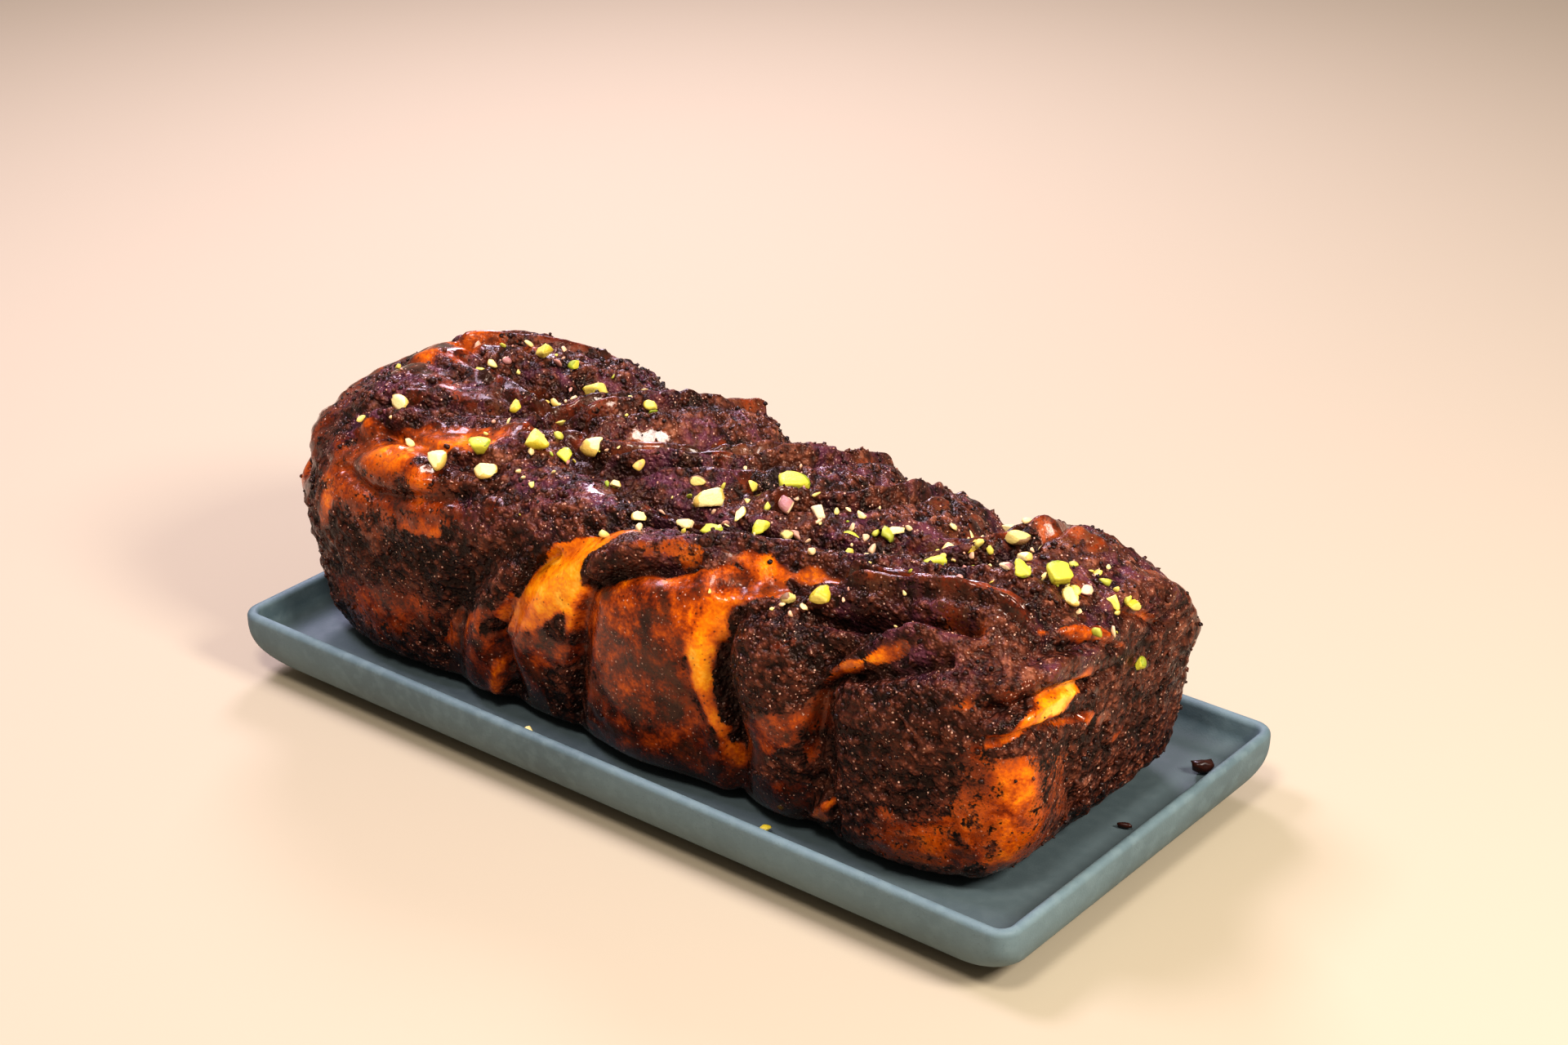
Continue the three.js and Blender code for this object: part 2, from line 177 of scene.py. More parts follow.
def girth_table(steps=600):
    """Box y and z once round the middle section, from the front foot over the top to the back
    foot, with the share of the way as a percentage."""
    corners = np.array([(-1, -1), (-1, 1), (1, 1), (1, -1)], float)
    t = np.linspace(0, 3, steps + 1)
    side = np.minimum(t.astype(int), 2)
    yz = blend(corners[side], corners[side + 1], (t - side)[:, None])
    points = loaf_form(np.zeros(steps + 1), yz[:, 0], yz[:, 1])
    way = np.append(0, np.cumsum(np.linalg.norm(np.diff(points, axis=0), axis=1)))
    return 100 * way / way[-1], yz


GIRTH, GIRTH_BOX = girth_table()


def on_side(station, girth):
    """Form point at a station, a percentage of the half length, and a percentage of girth."""
    box_y = np.interp(girth, GIRTH, GIRTH_BOX[:, 0])
    box_z = np.interp(girth, GIRTH, GIRTH_BOX[:, 1])
    return loaf_form(np.asarray(station) / 100, box_y, box_z)


def on_right_end(across, level):
    """Form point on the right end, from percentages of the half width and of the rise."""
    return loaf_form(np.ones(len(across)), np.asarray(across) / 100, np.asarray(level) / 100)


def on_left_end(across, level):
    """Form point on the left end, from the same two percentages."""
    return loaf_form(-np.ones(len(across)), np.asarray(across) / 100, np.asarray(level) / 100)


print("crown over the middle", np.round(on_side([0.0], [50.0]), 1))

# %% [markdown]
# ## Strands and creases
# Where a strand comes to the surface the skin swells, and where two meet it sinks. Each one is
# a route over the form with a reach and a rise, and its effect dies away with the square of
# the distance. The first two lists are the frame's own. The others add finer folds, first on
# the long side and the top, then on the two ends and the back.

# %% Routes of the strands
# Each is (reach in mm, rise in mm, [(station, girth), ...]). A negative rise is a furrow.
STRANDS = [
    (13, 4.0, [(-31, 11), (-22, 18), (-12, 23), (-1, 31)]),
    (23, 5.0, [(5, 3), (6, 14), (15, 23), (30, 31)]),
    (13, 4.5, [(4, 29), (19, 33), (35, 37), (50, 40)]),
    (14, 5.0, [(41, 19), (43, 25), (56, 32), (74, 38), (87, 40)]),
    (20, 4.0, [(71, 6), (70, 17), (79, 26), (92, 30)]),
    (16, 3.0, [(45, 4), (45, 12)]),
    (16, 4.5, [(-87, 18), (-74, 25), (-58, 31), (-43, 38)]),
    (18, 3.5, [(-73, 3), (-69, 15), (-51, 23), (-30, 28), (-9, 34)]),
    (11, 3.0, [(-43, 3), (-38, 12), (-30, 20)]),
    (11, 4.0, [(-86, 37), (-73, 40), (-58, 43), (-45, 48)]),
    (14, 5.0, [(-80, 47), (-73, 55), (-67, 62), (-63, 72)]),
    (13, 4.5, [(-43, 43), (-34, 51), (-28, 60), (-24, 70)]),
    (13, 4.5, [(-19, 42), (-5, 48), (5, 55), (12, 62), (17, 72)]),
    (12, 4.5, [(19, 48), (31, 54), (38, 62), (43, 71)]),
    (14, 5.0, [(57, 45), (71, 52), (82, 61), (83, 72)]),
    (10, 3.5, [(50, 38), (67, 42), (86, 45)]),
]
CREASES = [
    (5, -5, [(-34, 1), (-32, 12), (-22, 22), (-11, 29), (2, 34)]),
    (4, -4, [(-14, 1), (-9, 14), (-4, 24), (9, 28), (21, 30)]),
    (6, -6, [(34, 0), (32, 10), (29, 18), (30, 25), (38, 31), (54, 36)]),
    (5, -5, [(56, 0), (56, 12), (55, 22), (64, 28), (79, 33)]),
    (5, -4, [(-53, 1), (-48, 10), (-41, 18), (-28, 24)]),
    (6, -4, [(-90, 29), (-73, 34), (-54, 38), (-43, 41)]),
    (7, -6, [(-61, 51), (-45, 48), (-27, 40), (-5, 38), (14, 38), (32, 43), (53, 44), (71, 47)]),
    (6, -6, [(-54, 51), (-50, 58), (-45, 69)]),
    (6, -6, [(-22, 47), (-12, 55), (-6, 62), (-4, 70)]),
    (5, -5, [(9, 47), (22, 54), (30, 62), (34, 70)]),
    (6, -6, [(45, 48), (54, 56), (60, 63), (63, 71)]),
]
FINE_FOLDS = [
    (4.5, 2.6, [(-98, 31), (-85, 33), (-70, 35), (-56, 37.5), (-44, 40)]),
    (2.2, -2.6, [(-92, 34), (-76, 36.5), (-60, 39.5), (-48, 42)]),
    (2.4, -2.6, [(-92, 31), (-76, 31), (-62, 31), (-50, 32), (-42, 36)]),
    (7, 2.4, [(-78, 28), (-64, 28)]),
    (2.2, -2.4, [(-84, 25), (-70, 24), (-58, 25.5), (-48, 28)]),
    (1.6, -2.6, [(-33, 6), (-32, 12), (-28, 17), (-24, 21.5), (-18, 25.5)]),
    (1.2, -2.2, [(-14, 2), (-12, 10), (-9, 17), (-5, 24)]),
    (3.2, 2.4, [(-3, 26), (4, 28.5), (12, 31), (22, 33)]),
    (1.2, -1.8, [(-4, 24.2), (4, 26.6), (14, 29), (24, 31)]),
    (1.4, -1.6, [(34.4, 0), (33, 6), (31.4, 12), (29.6, 17), (30.4, 23), (36, 27.6), (44, 29)]),
    (4.0, 2.6, [(31, 0), (29.6, 6), (28, 12), (26, 17), (26.6, 23), (31, 28), (42, 31)]),
    (2.2, 2.2, [(22, 34.5), (36, 36.5), (50, 37.5), (58, 37)]),
    (1.4, -2.0, [(24, 36.5), (38, 38.5), (52, 39.5)]),
    (1.6, 2.2, [(54, 22), (58, 25), (68, 28), (80, 30), (94, 31)]),
    (1.6, -2.4, [(53, 12), (54, 20), (58, 23.6), (70, 26.6), (84, 29)]),
    (1.8, -2.2, [(66, 31), (80, 33), (94, 34)]),
    (3.0, 1.8, [(64, 34), (80, 36.5), (96, 37)]),
    (1.6, -2.6, [(61, 0), (61, 4), (58, 8)]),
    (2.6, 2.4, [(54, 3), (57, 6)]),
    (2.6, 2.2, [(-49, 6), (-48, 10)]),
    (2.4, 2.2, [(-37, 2), (-34.5, 6)]),
    (1.8, 2.0, [(-30, 13), (-28, 17), (-25, 21)]),
    (3.0, 2.4, [(-38, 43), (-29, 48), (-22, 54)]),
    (2.0, -2.2, [(-40, 45), (-30, 50), (-24, 56)]),
    (2.6, 2.2, [(-72, 44), (-60, 46), (-50, 47)]),
    (2.0, -2.4, [(-74, 48), (-64, 50), (-54, 52)]),
    (2.6, 2.0, [(-68, 54), (-60, 53.5), (-52, 54)]),
    (2.6, 2.2, [(-8, 44), (4, 47), (16, 48)]),
    (2.0, -2.0, [(-14, 50), (0, 52), (10, 56)]),
    (2.4, 2.0, [(30, 46), (44, 47), (56, 48)]),
    (2.0, -2.0, [(66, 52), (80, 54), (94, 56)]),
    (2.6, 2.2, [(70, 57), (84, 59), (96, 60)]),
    (2.0, -2.0, [(72, 62), (84, 65), (92, 70)]),
    (3.4, 2.4, [(56, 33.6), (70, 35.4), (84, 36.8), (98, 37.6)]),
    (2.0, -4.2, [(58, 30.4), (72, 31.8), (86, 33), (98, 34)]),
    (2.4, 2.6, [(62, 28.6), (78, 30.6), (96, 32)]),
    (1.9, -3.6, [(64, 24.6), (80, 27.2), (98, 29.6)]),
    (1.8, -2.4, [(60, 40), (74, 41.4), (90, 42)]),
    (1.6, -2.0, [(-90, 43), (-80, 44.4), (-68, 43)]),
    (1.6, -2.2, [(-92, 49), (-82, 51), (-72, 50), (-62, 47)]),
]
# Each rope of dough over the top is itself a twist of thinner ones, side by side, so its route
# is repeated at five shifts along the loaf, as (shift, reach, rise).
ROPE_TWIST = [(-4.4, 1.6, -3.2), (-2.2, 2.2, 2.1), (0, 1.6, -2.7), (2.2, 2.2, 2.2), (4.4, 1.7, -3.2)]
ROPE_SLANT = 0.4
TOP_ROPES = [
    [(-84, 52), (-76, 58), (-70, 66), (-67, 76)],
    [(-46, 43), (-37, 51), (-31, 60), (-27, 72)],
    [(-22, 42), (-8, 48), (2, 55), (9, 63), (14, 74)],
    [(16, 48), (28, 54), (35, 62), (40, 73)],
    [(54, 46), (67, 52), (77, 61), (80, 73)],
    [(-4, 36.5), (14, 38), (30, 41), (46, 44)],
    [(-60, 45), (-44, 45), (-28, 43)],
    [(58, 36), (72, 37.4), (86, 38.4), (98, 39)],
]
FINE_FOLDS += [(reach, rise, [(station + shift, girth - ROPE_SLANT * shift) for station, girth in rope])
               for rope in TOP_ROPES for shift, reach, rise in ROPE_TWIST]
# On the ends each point of a route is (across, level).
RIGHT_END_FOLDS = [
    (3.2, 3.0, [(-95, 38), (-75, 46), (-52, 43), (-30, 31)]),
    (1.8, -2.6, [(-96, 30), (-76, 33), (-50, 26), (-28, 14)]),
    (1.8, -2.4, [(-96, 52), (-76, 58), (-50, 54), (-26, 42), (-4, 40)]),
    (4.5, 2.6, [(-85, 68), (-55, 72), (-25, 62), (0, 45)]),
    (1.8, -2.2, [(-60, 86), (-35, 82), (-15, 70), (0, 54)]),
    (2.4, 2.0, [(-40, 92), (-18, 82), (0, 62)]),
    (1.8, -2.2, [(10, 86), (26, 68), (42, 46)]),
    (7.0, 2.6, [(50, 80), (68, 55), (76, 25)]),
    (9.0, 2.2, [(-70, -10), (-66, -45)]),
    (2.6, -0.9, [(-40, 6), (-34, -25), (-28, -60)]),
]
LEFT_END_FOLDS = [
    (8.0, 3.0, [(-70, 60), (-40, 78), (0, 84)]),
    (2.0, -2.6, [(-92, 34), (-60, 48), (-20, 58), (20, 56)]),
    (7.0, 2.4, [(-80, 18), (-40, 34), (10, 40)]),
    (2.0, -2.4, [(-90, -6), (-50, 8), (0, 16), (40, 10)]),
    (9.0, 2.6, [(20, 70), (60, 44), (76, 4)]),
    (2.2, -2.4, [(34, 82), (52, 40), (56, -10), (50, -50)]),
    (8.0, 2.0, [(-50, -30), (-10, -20), (20, -30)]),
]
BACK_FOLDS = [
    (13, 3.6, [(-84, 96), (-78, 84), (-66, 74)]),
    (4.0, -4.0, [(-62, 98), (-58, 86), (-48, 74)]),
    (14, 3.4, [(-44, 96), (-36, 84), (-26, 72)]),
    (4.0, -4.0, [(-22, 98), (-14, 86), (-4, 72)]),
    (14, 3.4, [(0, 96), (8, 84), (16, 74)]),
    (4.0, -4.0, [(20, 98), (28, 86), (36, 72)]),
    (13, 3.2, [(40, 96), (46, 84), (48, 74)]),
    (4.0, -4.0, [(58, 98), (62, 86), (64, 72)]),
    (14, 3.2, [(80, 94), (82, 82)]),
    (2.0, -2.2, [(-36, 96), (-26, 84), (-18, 76)]),
    (2.0, -2.2, [(8, 96), (18, 84), (24, 76)]),
]
print(len(STRANDS + CREASES), "main routes and", len(FINE_FOLDS), "fine folds")

# %% Distance to a route
def route_gap(points, corners, widths=None, extra=None):
    """Distance from points to a broken line, less a half width that changes evenly from
    corner to corner. Also gives the extra value at the nearest place, if there is one."""
    best = np.full(len(points), 1e9)
    value = np.zeros(len(points))
    for i in range(len(corners) - 1):
        leg = corners[i + 1] - corners[i]
        t = np.clip((points - corners[i]) @ leg / (leg @ leg), 0, 1)
        gap = np.linalg.norm(points - corners[i] - t[:, None] * leg, axis=1)
        if widths is not None:
            gap = gap - blend(widths[i], widths[i + 1], t)
        closer = gap < best
        best = np.where(closer, gap, best)
        if extra is not None:
            value = np.where(closer, blend(extra[i], extra[i + 1], t), value)
    return best, value


def relief(points, routes, place):
    """Sum over routes of rise * exp(-(distance / reach)^2)."""
    total = np.zeros(len(points))
    for reach, rise, route in routes:
        a, b = np.array(route, float).T
        gap, _ = route_gap(points, place(a, b))
        total += rise * np.exp(-(gap / reach) ** 2)
    return total

# %% [markdown]
# ## The grid of the skin
# The skin is a box of grid cells without its lid underneath: a long top, two long sides and two
# ends, each about a millimetre a cell, joined along their edges. One fan closes the foot,
# where the loaf stands on the tray and nothing is seen.

# %% Skin grid
CELLS_LONG, CELLS_WIDE, CELLS_HIGH = 268, 104, 82


def box_side(fixed_axis, fixed_value, axis_a, cells_a, axis_b, cells_b):
    """Grid points of one side of the box, and its faces, wound to face outwards."""
    a, b = np.meshgrid(np.arange(cells_a + 1), np.arange(cells_b + 1), indexing="ij")
    points = np.zeros((a.size, 3), np.int64)
    cells = np.array([CELLS_LONG, CELLS_WIDE, CELLS_HIGH])
    points[:, axis_a] = a.ravel()
    points[:, axis_b] = b.ravel()
    points[:, fixed_axis] = cells[fixed_axis] * fixed_value
    corner = (a[:-1, :-1] * (cells_b + 1) + b[:-1, :-1]).ravel()
    faces = np.stack([corner, corner + cells_b + 1, corner + cells_b + 2, corner + 1], axis=1)
    return points, faces if fixed_value else faces[:, ::-1]


def skin_grid():
    """Whole-numbered box places of the five sides with shared edges made one, and faces."""
    sides = [
        box_side(2, 1, 0, CELLS_LONG, 1, CELLS_WIDE),
        box_side(1, 0, 2, CELLS_HIGH, 0, CELLS_LONG),
        box_side(1, 1, 2, CELLS_HIGH, 0, CELLS_LONG),
        box_side(0, 0, 1, CELLS_WIDE, 2, CELLS_HIGH),
        box_side(0, 1, 1, CELLS_WIDE, 2, CELLS_HIGH),
    ]
    starts = np.cumsum([0] + [len(p) for p, _ in sides])
    every = np.concatenate([p for p, _ in sides])
    faces = np.concatenate([f + s for (_, f), s in zip(sides, starts)])
    shared, where = np.unique(every, axis=0, return_inverse=True)
    return shared, where.ravel()[faces]


def point_normals(points, quads):
    """Unit sum of the normals of the faces round each point."""
    across = np.cross(points[quads[:, 2]] - points[quads[:, 0]],
                      points[quads[:, 3]] - points[quads[:, 1]])
    normals = np.zeros_like(points)
    for corner in range(4):
        np.add.at(normals, quads[:, corner], across)
    return normals / np.linalg.norm(normals, axis=1, keepdims=True)


grid_places, skin_quads = skin_grid()
box_places = 2 * grid_places / np.array([CELLS_LONG, CELLS_WIDE, CELLS_HIGH]) - 1
plain_skin = loaf_form(*box_places.T)
plain_normals = point_normals(plain_skin, skin_quads)
print("skin grid", plain_skin.shape, skin_quads.shape, "outward", (plain_normals[:, 2] > 0).mean())

# %% [markdown]
# ## Where dough shows and where filling shows
# Plain dough comes up in smooth bands that the oven browns from gold to a deep red-brown.
# Everything else is the cut, crumbly chocolate filling. Each patch is a route whose points
# carry a half width in millimetres and a bake from 0, gold, to 1, nearly burnt. Later patches
# lie over earlier ones, as coats of paint do, and their edges are ragged by a little noise.

# %% Patches on the long side and top
# Each is (cover, edge softness in mm, [(station, girth, half width, bake), ...]). A cover of 1
# is smooth dough, 0 is filling, and between them the dough shows through in specks.
SIDE_PATCHES = [
    # the end that stands on the left: mottled, glossy and mostly deep red-brown
    (0.76, 6.0, [(-90, 38, 4, 0.66), (-82, 46, 8, 0.54), (-76, 53, 7, 0.58), (-66, 58, 4, 0.7)]),
    (1.0, 2.6, [(-84, 42, 2, 0.56), (-81, 48, 3.4, 0.42), (-76, 54, 2.8, 0.52)]),
    (0.72, 7.0, [(-97, 26, 5, 0.6), (-86, 25, 11, 0.52), (-66, 25, 11, 0.56), (-50, 27, 5, 0.68)]),
    (0.66, 8.0, [(-90, 8, 8, 0.64), (-72, 8, 13, 0.54), (-58, 10, 10, 0.64)]),
    (0.9, 4.0, [(-76, 10, 2, 0.72), (-66, 9, 3, 0.7), (-58, 11, 2, 0.76)]),
    (1.0, 1.4, [(-98, 30, 2, 0.7), (-86, 31.4, 3.6, 0.56), (-76, 32.4, 4.8, 0.56),
                (-62, 34.2, 5.6, 0.52), (-52, 36.2, 4.6, 0.6), (-43, 39.4, 2.4, 0.72)]),
    (1.0, 2.4, [(-70, 32, 1.8, 0.42), (-60, 33.4, 2.4, 0.34), (-51, 35.2, 1.6, 0.44)]),
    (0.8, 3.0, [(-90, 28, 2, 0.6), (-80, 28.6, 4, 0.46), (-73, 28, 4, 0.42), (-60, 27.6, 4, 0.5)]),
    (0.74, 3.0, [(-66, 25.4, 2, 0.5), (-60, 25, 3, 0.46), (-53, 25.6, 2, 0.54)]),
    (0.72, 3.4, [(-84, 26.4, 2, 0.5), (-79, 25.2, 3.4, 0.44), (-74, 25.4, 3, 0.5), (-68, 24, 2, 0.56)]),
    (1.0, 2.0, [(-80, 29.6, 2.4, 0.5), (-74, 29.8, 3, 0.46), (-67, 30, 2, 0.56)]),
    (0.1, 3.0, [(-68, 24.6, 1.6, 0), (-62, 26, 2, 0)]),
    (0.66, 3.0, [(-78, 25.4, 2, 0.8), (-68, 24.4, 3.4, 0.74), (-60, 24.6, 3, 0.78)]),
    (0.66, 2.4, [(-60, 23.4, 2, 0.66), (-50, 24.4, 3, 0.56), (-42, 25.8, 2, 0.62)]),
    (1.0, 1.2, [(-87.5, 17.5, 1.4, 0.6), (-84.5, 21, 2.8, 0.54), (-82.4, 25, 2, 0.66)]),
    (0.54, 4.0, [(-79, 21.6, 3, 0.56), (-70, 19.4, 4, 0.6), (-58, 20.6, 3, 0.66)]),
    (0.66, 3.0, [(-77, 22.4, 1.6, 0.48), (-73, 21.6, 1.8, 0.54)]),
    (0.74, 2.0, [(-58, 22.2, 1.2, 0.46), (-53, 22.6, 1.8, 0.42), (-49, 23, 1, 0.5)]),
    # the small bulges beside the golden one
    (0.92, 3.0, [(-54, 0, 6, 0.94), (-46, 3, 10, 0.9), (-38, 7, 10, 0.84), (-33, 10, 5, 0.78)]),
    (1.0, 1.0, [(-51, 5.4, 1.8, 0.56), (-49, 9, 2.4, 0.42), (-46, 12, 1.8, 0.5)]),
    (1.0, 1.6, [(-44, 9, 2.6, 0.68), (-40, 12, 3.4, 0.66), (-36, 15, 2.6, 0.62)]),
    (1.0, 0.9, [(-39, 1, 2.4, 0.66), (-36, 3.6, 2.6, 0.44), (-34.4, 7, 1.2, 0.56)]),
    # the golden bulge, with the pale lip on its left
    (1.0, 2.0, [(-28, 0, 7, 0.97), (-27, 6, 8, 0.92), (-25, 11, 7, 0.78)]),
    (1.0, 0.9, [(-33.2, 9.5, 0.8, 0.62), (-31.6, 13.4, 1.3, 0.5), (-28.8, 17.4, 1.3, 0.44),
                (-25.6, 20.6, 0.8, 0.4)]),
    (1.0, 0.8, [(-27.6, 13.8, 2.6, 0.34), (-23, 16.8, 6, 0.27), (-18.4, 20, 8.6, 0.22),
                (-14, 24, 9, 0.2), (-8.6, 27.4, 5.6, 0.24), (0, 30, 2.8, 0.34),
                (7, 31.2, 1, 0.46)]),
    (1.0, 4.0, [(-27, 11.4, 5, 0.7), (-19, 12, 7, 0.72), (-13, 13, 3, 0.66)]),
    (1.0, 3.0, [(-12.6, 15, 1.6, 0.18), (-9.8, 19, 2.8, 0.05), (-7.4, 23, 2.4, 0.08)]),
    # the broad bulge
    (1.0, 1.0, [(-8, 14, 5, 0.62), (-1, 19, 11, 0.58), (8, 21, 14, 0.58), (17, 24, 11, 0.54),
                (25, 27, 9, 0.54), (34, 30.4, 6, 0.5), (46, 32.2, 3.6, 0.52)]),
    (1.0, 5.0, [(-8, 1, 8, 0.97), (6, 1, 12, 0.95), (20, 1, 14, 0.94), (26, 3, 10, 0.9)]),
    (1.0, 9.0, [(-8, 8, 5, 0.86), (6, 9, 13, 0.8), (20, 9, 12, 0.78)]),
    (1.0, 3.0, [(2, 3.4, 1.6, 0.7), (14, 5, 2.2, 0.66), (24, 4, 1.8, 0.66)]),
    (1.0, 8.0, [(-6, 15, 3, 0.64), (4, 16.6, 12, 0.72), (14, 16.6, 11, 0.7), (20, 17, 5, 0.66)]),
    (1.0, 4.0, [(-6, 17, 1.4, 0.56), (-4.4, 22, 3, 0.5), (4, 24.8, 2, 0.54)]),
    (1.0, 4.0, [(13, 26, 1.4, 0.68), (22, 28, 3, 0.7), (32, 30.4, 3, 0.68), (44, 32.4, 2, 0.6)]),
    # the bright strip down the right edge of the broad bulge
    (1.0, 1.4, [(33, 0, 1.2, 0.62), (31.6, 5, 1.6, 0.5), (29, 10, 2.2, 0.36),
                (25.8, 15, 2.8, 0.26), (25, 20, 3.4, 0.2), (26.8, 24, 3.6, 0.28),
                (31.4, 28, 2.8, 0.4), (42, 31.2, 1.6, 0.5)]),
    # dark filling that crosses the bulges
    (0.0, 0.8, [(-18.4, 1, 2.4, 0), (-16.4, 5, 3.2, 0), (-14.8, 9.4, 2, 0)]),
    (0.12, 1.4, [(-16, 15.6, 1.8, 0), (-14, 17, 2.4, 0)]),
    (1.0, 1.8, [(12, 21.4, 1.2, 1.0), (12, 23.6, 1.9, 1.1), (13, 26.2, 1.5, 1.0)]),
    (1.0, 4.0, [(1, 18.6, 1.6, 0.84), (6, 17, 3.4, 0.9), (12, 15, 2.4, 0.84)]),
    (1.0, 5.0, [(15, 12, 2.6, 0.86), (21, 10.6, 3.4, 0.9)]),
    (0.0, 0.9, [(-5, 25.4, 2.8, 0), (2, 28, 4.2, 0), (10, 30.6, 4.4, 0), (20, 32.6, 4, 0),
                (30, 34.4, 3, 0), (40, 36, 2, 0)]),
    # dough bands above, along the front shoulder
    (0.64, 2.0, [(6, 29.4, 1, 0.5), (16, 30.8, 2, 0.46), (26, 32.2, 2.4, 0.42)]),
    (1.0, 1.4, [(26, 33, 1.2, 0.5), (34, 33.8, 2, 0.46), (44, 34.8, 2.4, 0.46),
                (54, 35.8, 2, 0.54), (62, 36.6, 1, 0.66)]),
    # the dark lobe, the smooth patch under it, and the dark foot of both
    (0.0, 1.0, [(31, 12, 3, 0), (31.4, 16, 5.6, 0), (34, 20, 7.2, 0), (39, 24, 8.2, 0),
                (47, 26, 7, 0), (54, 29, 5, 0), (62, 32, 6, 0)]),
    (0.5, 3.0, [(40, 22, 3, 0.74), (46, 25, 3, 0.7), (52, 27, 2, 0.7)]),
    (1.0, 2.6, [(37, 9, 5, 0.84), (40, 12, 6, 0.72), (46, 15, 6, 0.68), (50, 17, 3.4, 0.7)]),
    (0.9, 3.0, [(36, 2, 6, 0.95), (44, 3, 9, 0.9), (51, 6, 4, 0.88)]),
    (0.8, 3.0, [(52.6, 10, 1.4, 0.8), (52.4, 16, 2.6, 0.72), (54, 21, 2, 0.6)]),
    (1.0, 0.9, [(54.8, 22.4, 1, 0.56), (58, 24.4, 1.6, 0.44), (64, 26.2, 1.7, 0.38),
                (72, 27.8, 1.7, 0.4), (80, 29, 1.6, 0.48), (88, 30, 1.2, 0.6)]),
    (1.0, 0.8, [(54.8, 1.6, 2.4, 0.52), (57, 4.6, 2.8, 0.38), (58.8, 7, 1.2, 0.5)]),
    # the right corner
    (0.58, 6.0, [(66, 2, 4, 0.84), (78, 4, 8, 0.76), (90, 4, 9, 0.7)]),
    (0.6, 3.0, [(66, 9, 1.6, 0.74), (74, 8.6, 2.6, 0.66), (82, 5, 3, 0.66), (92, 3, 3, 0.62)]),
    (0.68, 9.0, [(70, 3, 4, 0.52), (82, 5, 8, 0.5), (92, 9, 9, 0.46), (99, 12, 11, 0.44)]),
    (0.72, 4.0, [(92, 17, 2, 0.56), (97, 14, 4, 0.46), (99, 6, 3, 0.5)]),
    (0.8, 1.4, [(88, 24.4, 0.8, 0.66), (94, 25.2, 1.6, 0.5), (99, 26, 2.2, 0.4)]),
    (0.46, 5.0, [(62, 34, 2, 0.84), (76, 35, 4, 0.8), (90, 36, 5, 0.74), (99, 37, 4, 0.74)]),
    (0.66, 2.0, [(78, 32.4, 1, 0.72), (88, 33.4, 1.8, 0.6), (99, 34.4, 1.6, 0.6)]),
    (0.66, 2.0, [(60, 38.4, 1, 0.78), (72, 39.6, 1.6, 0.7), (88, 40.6, 1.2, 0.72)]),
    # streaks over the top, the first of them along the ropes, smooth and dark
    *[(0.84, 2.0, [(station, girth, 2.6, 0.87) for station, girth in rope]) for rope in TOP_ROPES],
    (0.86, 1.4, [(-96, 40, 1.6, 0.86), (-84, 41.6, 2.8, 0.86), (-72, 41, 2.6, 0.8), (-60, 40, 1.4, 0.84)]),
    (0.86, 1.4, [(-94, 46.6, 1.6, 0.84), (-84, 47.8, 2.8, 0.78), (-72, 47, 2.6, 0.86), (-60, 44, 1.6, 0.86)]),
    (0.84, 1.6, [(58, 35.4, 1.6, 0.84), (70, 37.2, 2.6, 0.8), (84, 38.4, 2.6, 0.84), (98, 39, 1.6, 0.8)]),
    (0.6, 4.0, [(-46, 41, 2, 0.8), (-36, 45, 4, 0.78), (-28, 51, 4, 0.8)]),
    (0.66, 2.4, [(-41, 42.6, 1.2, 0.74), (-35, 46, 2.2, 0.68), (-30, 50, 1.2, 0.74)]),
    (0.96, 1.4, [(-25, 45, 1.4, 0.6), (-22.6, 49, 2.2, 0.6), (-20, 52.6, 1.2, 0.7)]),
    (0.8, 1.6, [(-13.4, 55, 1.8, 0.66), (-12, 59, 1.6, 0.7)]),
    (0.8, 1.6, [(-8, 56, 1.2, 0.74), (-4, 51, 1.8, 0.72), (0, 48, 1.2, 0.78)]),
    (0.66, 3.0, [(-72, 40.6, 1.6, 0.82), (-60, 42, 2.6, 0.78), (-50, 44, 1.6, 0.8)]),
    (0.7, 2.4, [(-70, 50, 1.4, 0.8), (-60, 51, 2.2, 0.76), (-52, 53, 1.4, 0.8)]),
    (0.6, 4.0, [(28, 40, 3, 0.8), (42, 42, 4, 0.78), (54, 43, 3, 0.8)]),
    (0.62, 4.0, [(20, 56, 2, 0.82), (32, 62, 4, 0.78), (40, 70, 4, 0.78)]),
    (0.64, 5.0, [(58, 46, 2, 0.8), (76, 48, 5, 0.78), (94, 50, 5, 0.76)]),
    (0.84, 2.4, [(60, 54, 1.4, 0.8), (76, 57, 3, 0.74), (90, 59, 3.4, 0.7), (99, 60, 2, 0.74)]),
    (0.84, 2.4, [(66, 64, 1.6, 0.8), (80, 66, 3, 0.74), (92, 68, 3.4, 0.7), (99, 70, 2, 0.76)]),
    (0.7, 2.0, [(46, 50, 1.2, 0.82), (56, 58, 2.8, 0.78), (61, 68, 2.8, 0.8)]),
    (0.74, 2.0, [(-30, 62, 1.6, 0.82), (-26, 70, 2.6, 0.76), (-22, 80, 3, 0.74)]),
    (0.74, 2.0, [(14, 60, 1.4, 0.82), (20, 70, 2.6, 0.76), (24, 80, 3, 0.72)]),
]
print(len(SIDE_PATCHES), "patches on the side and top")

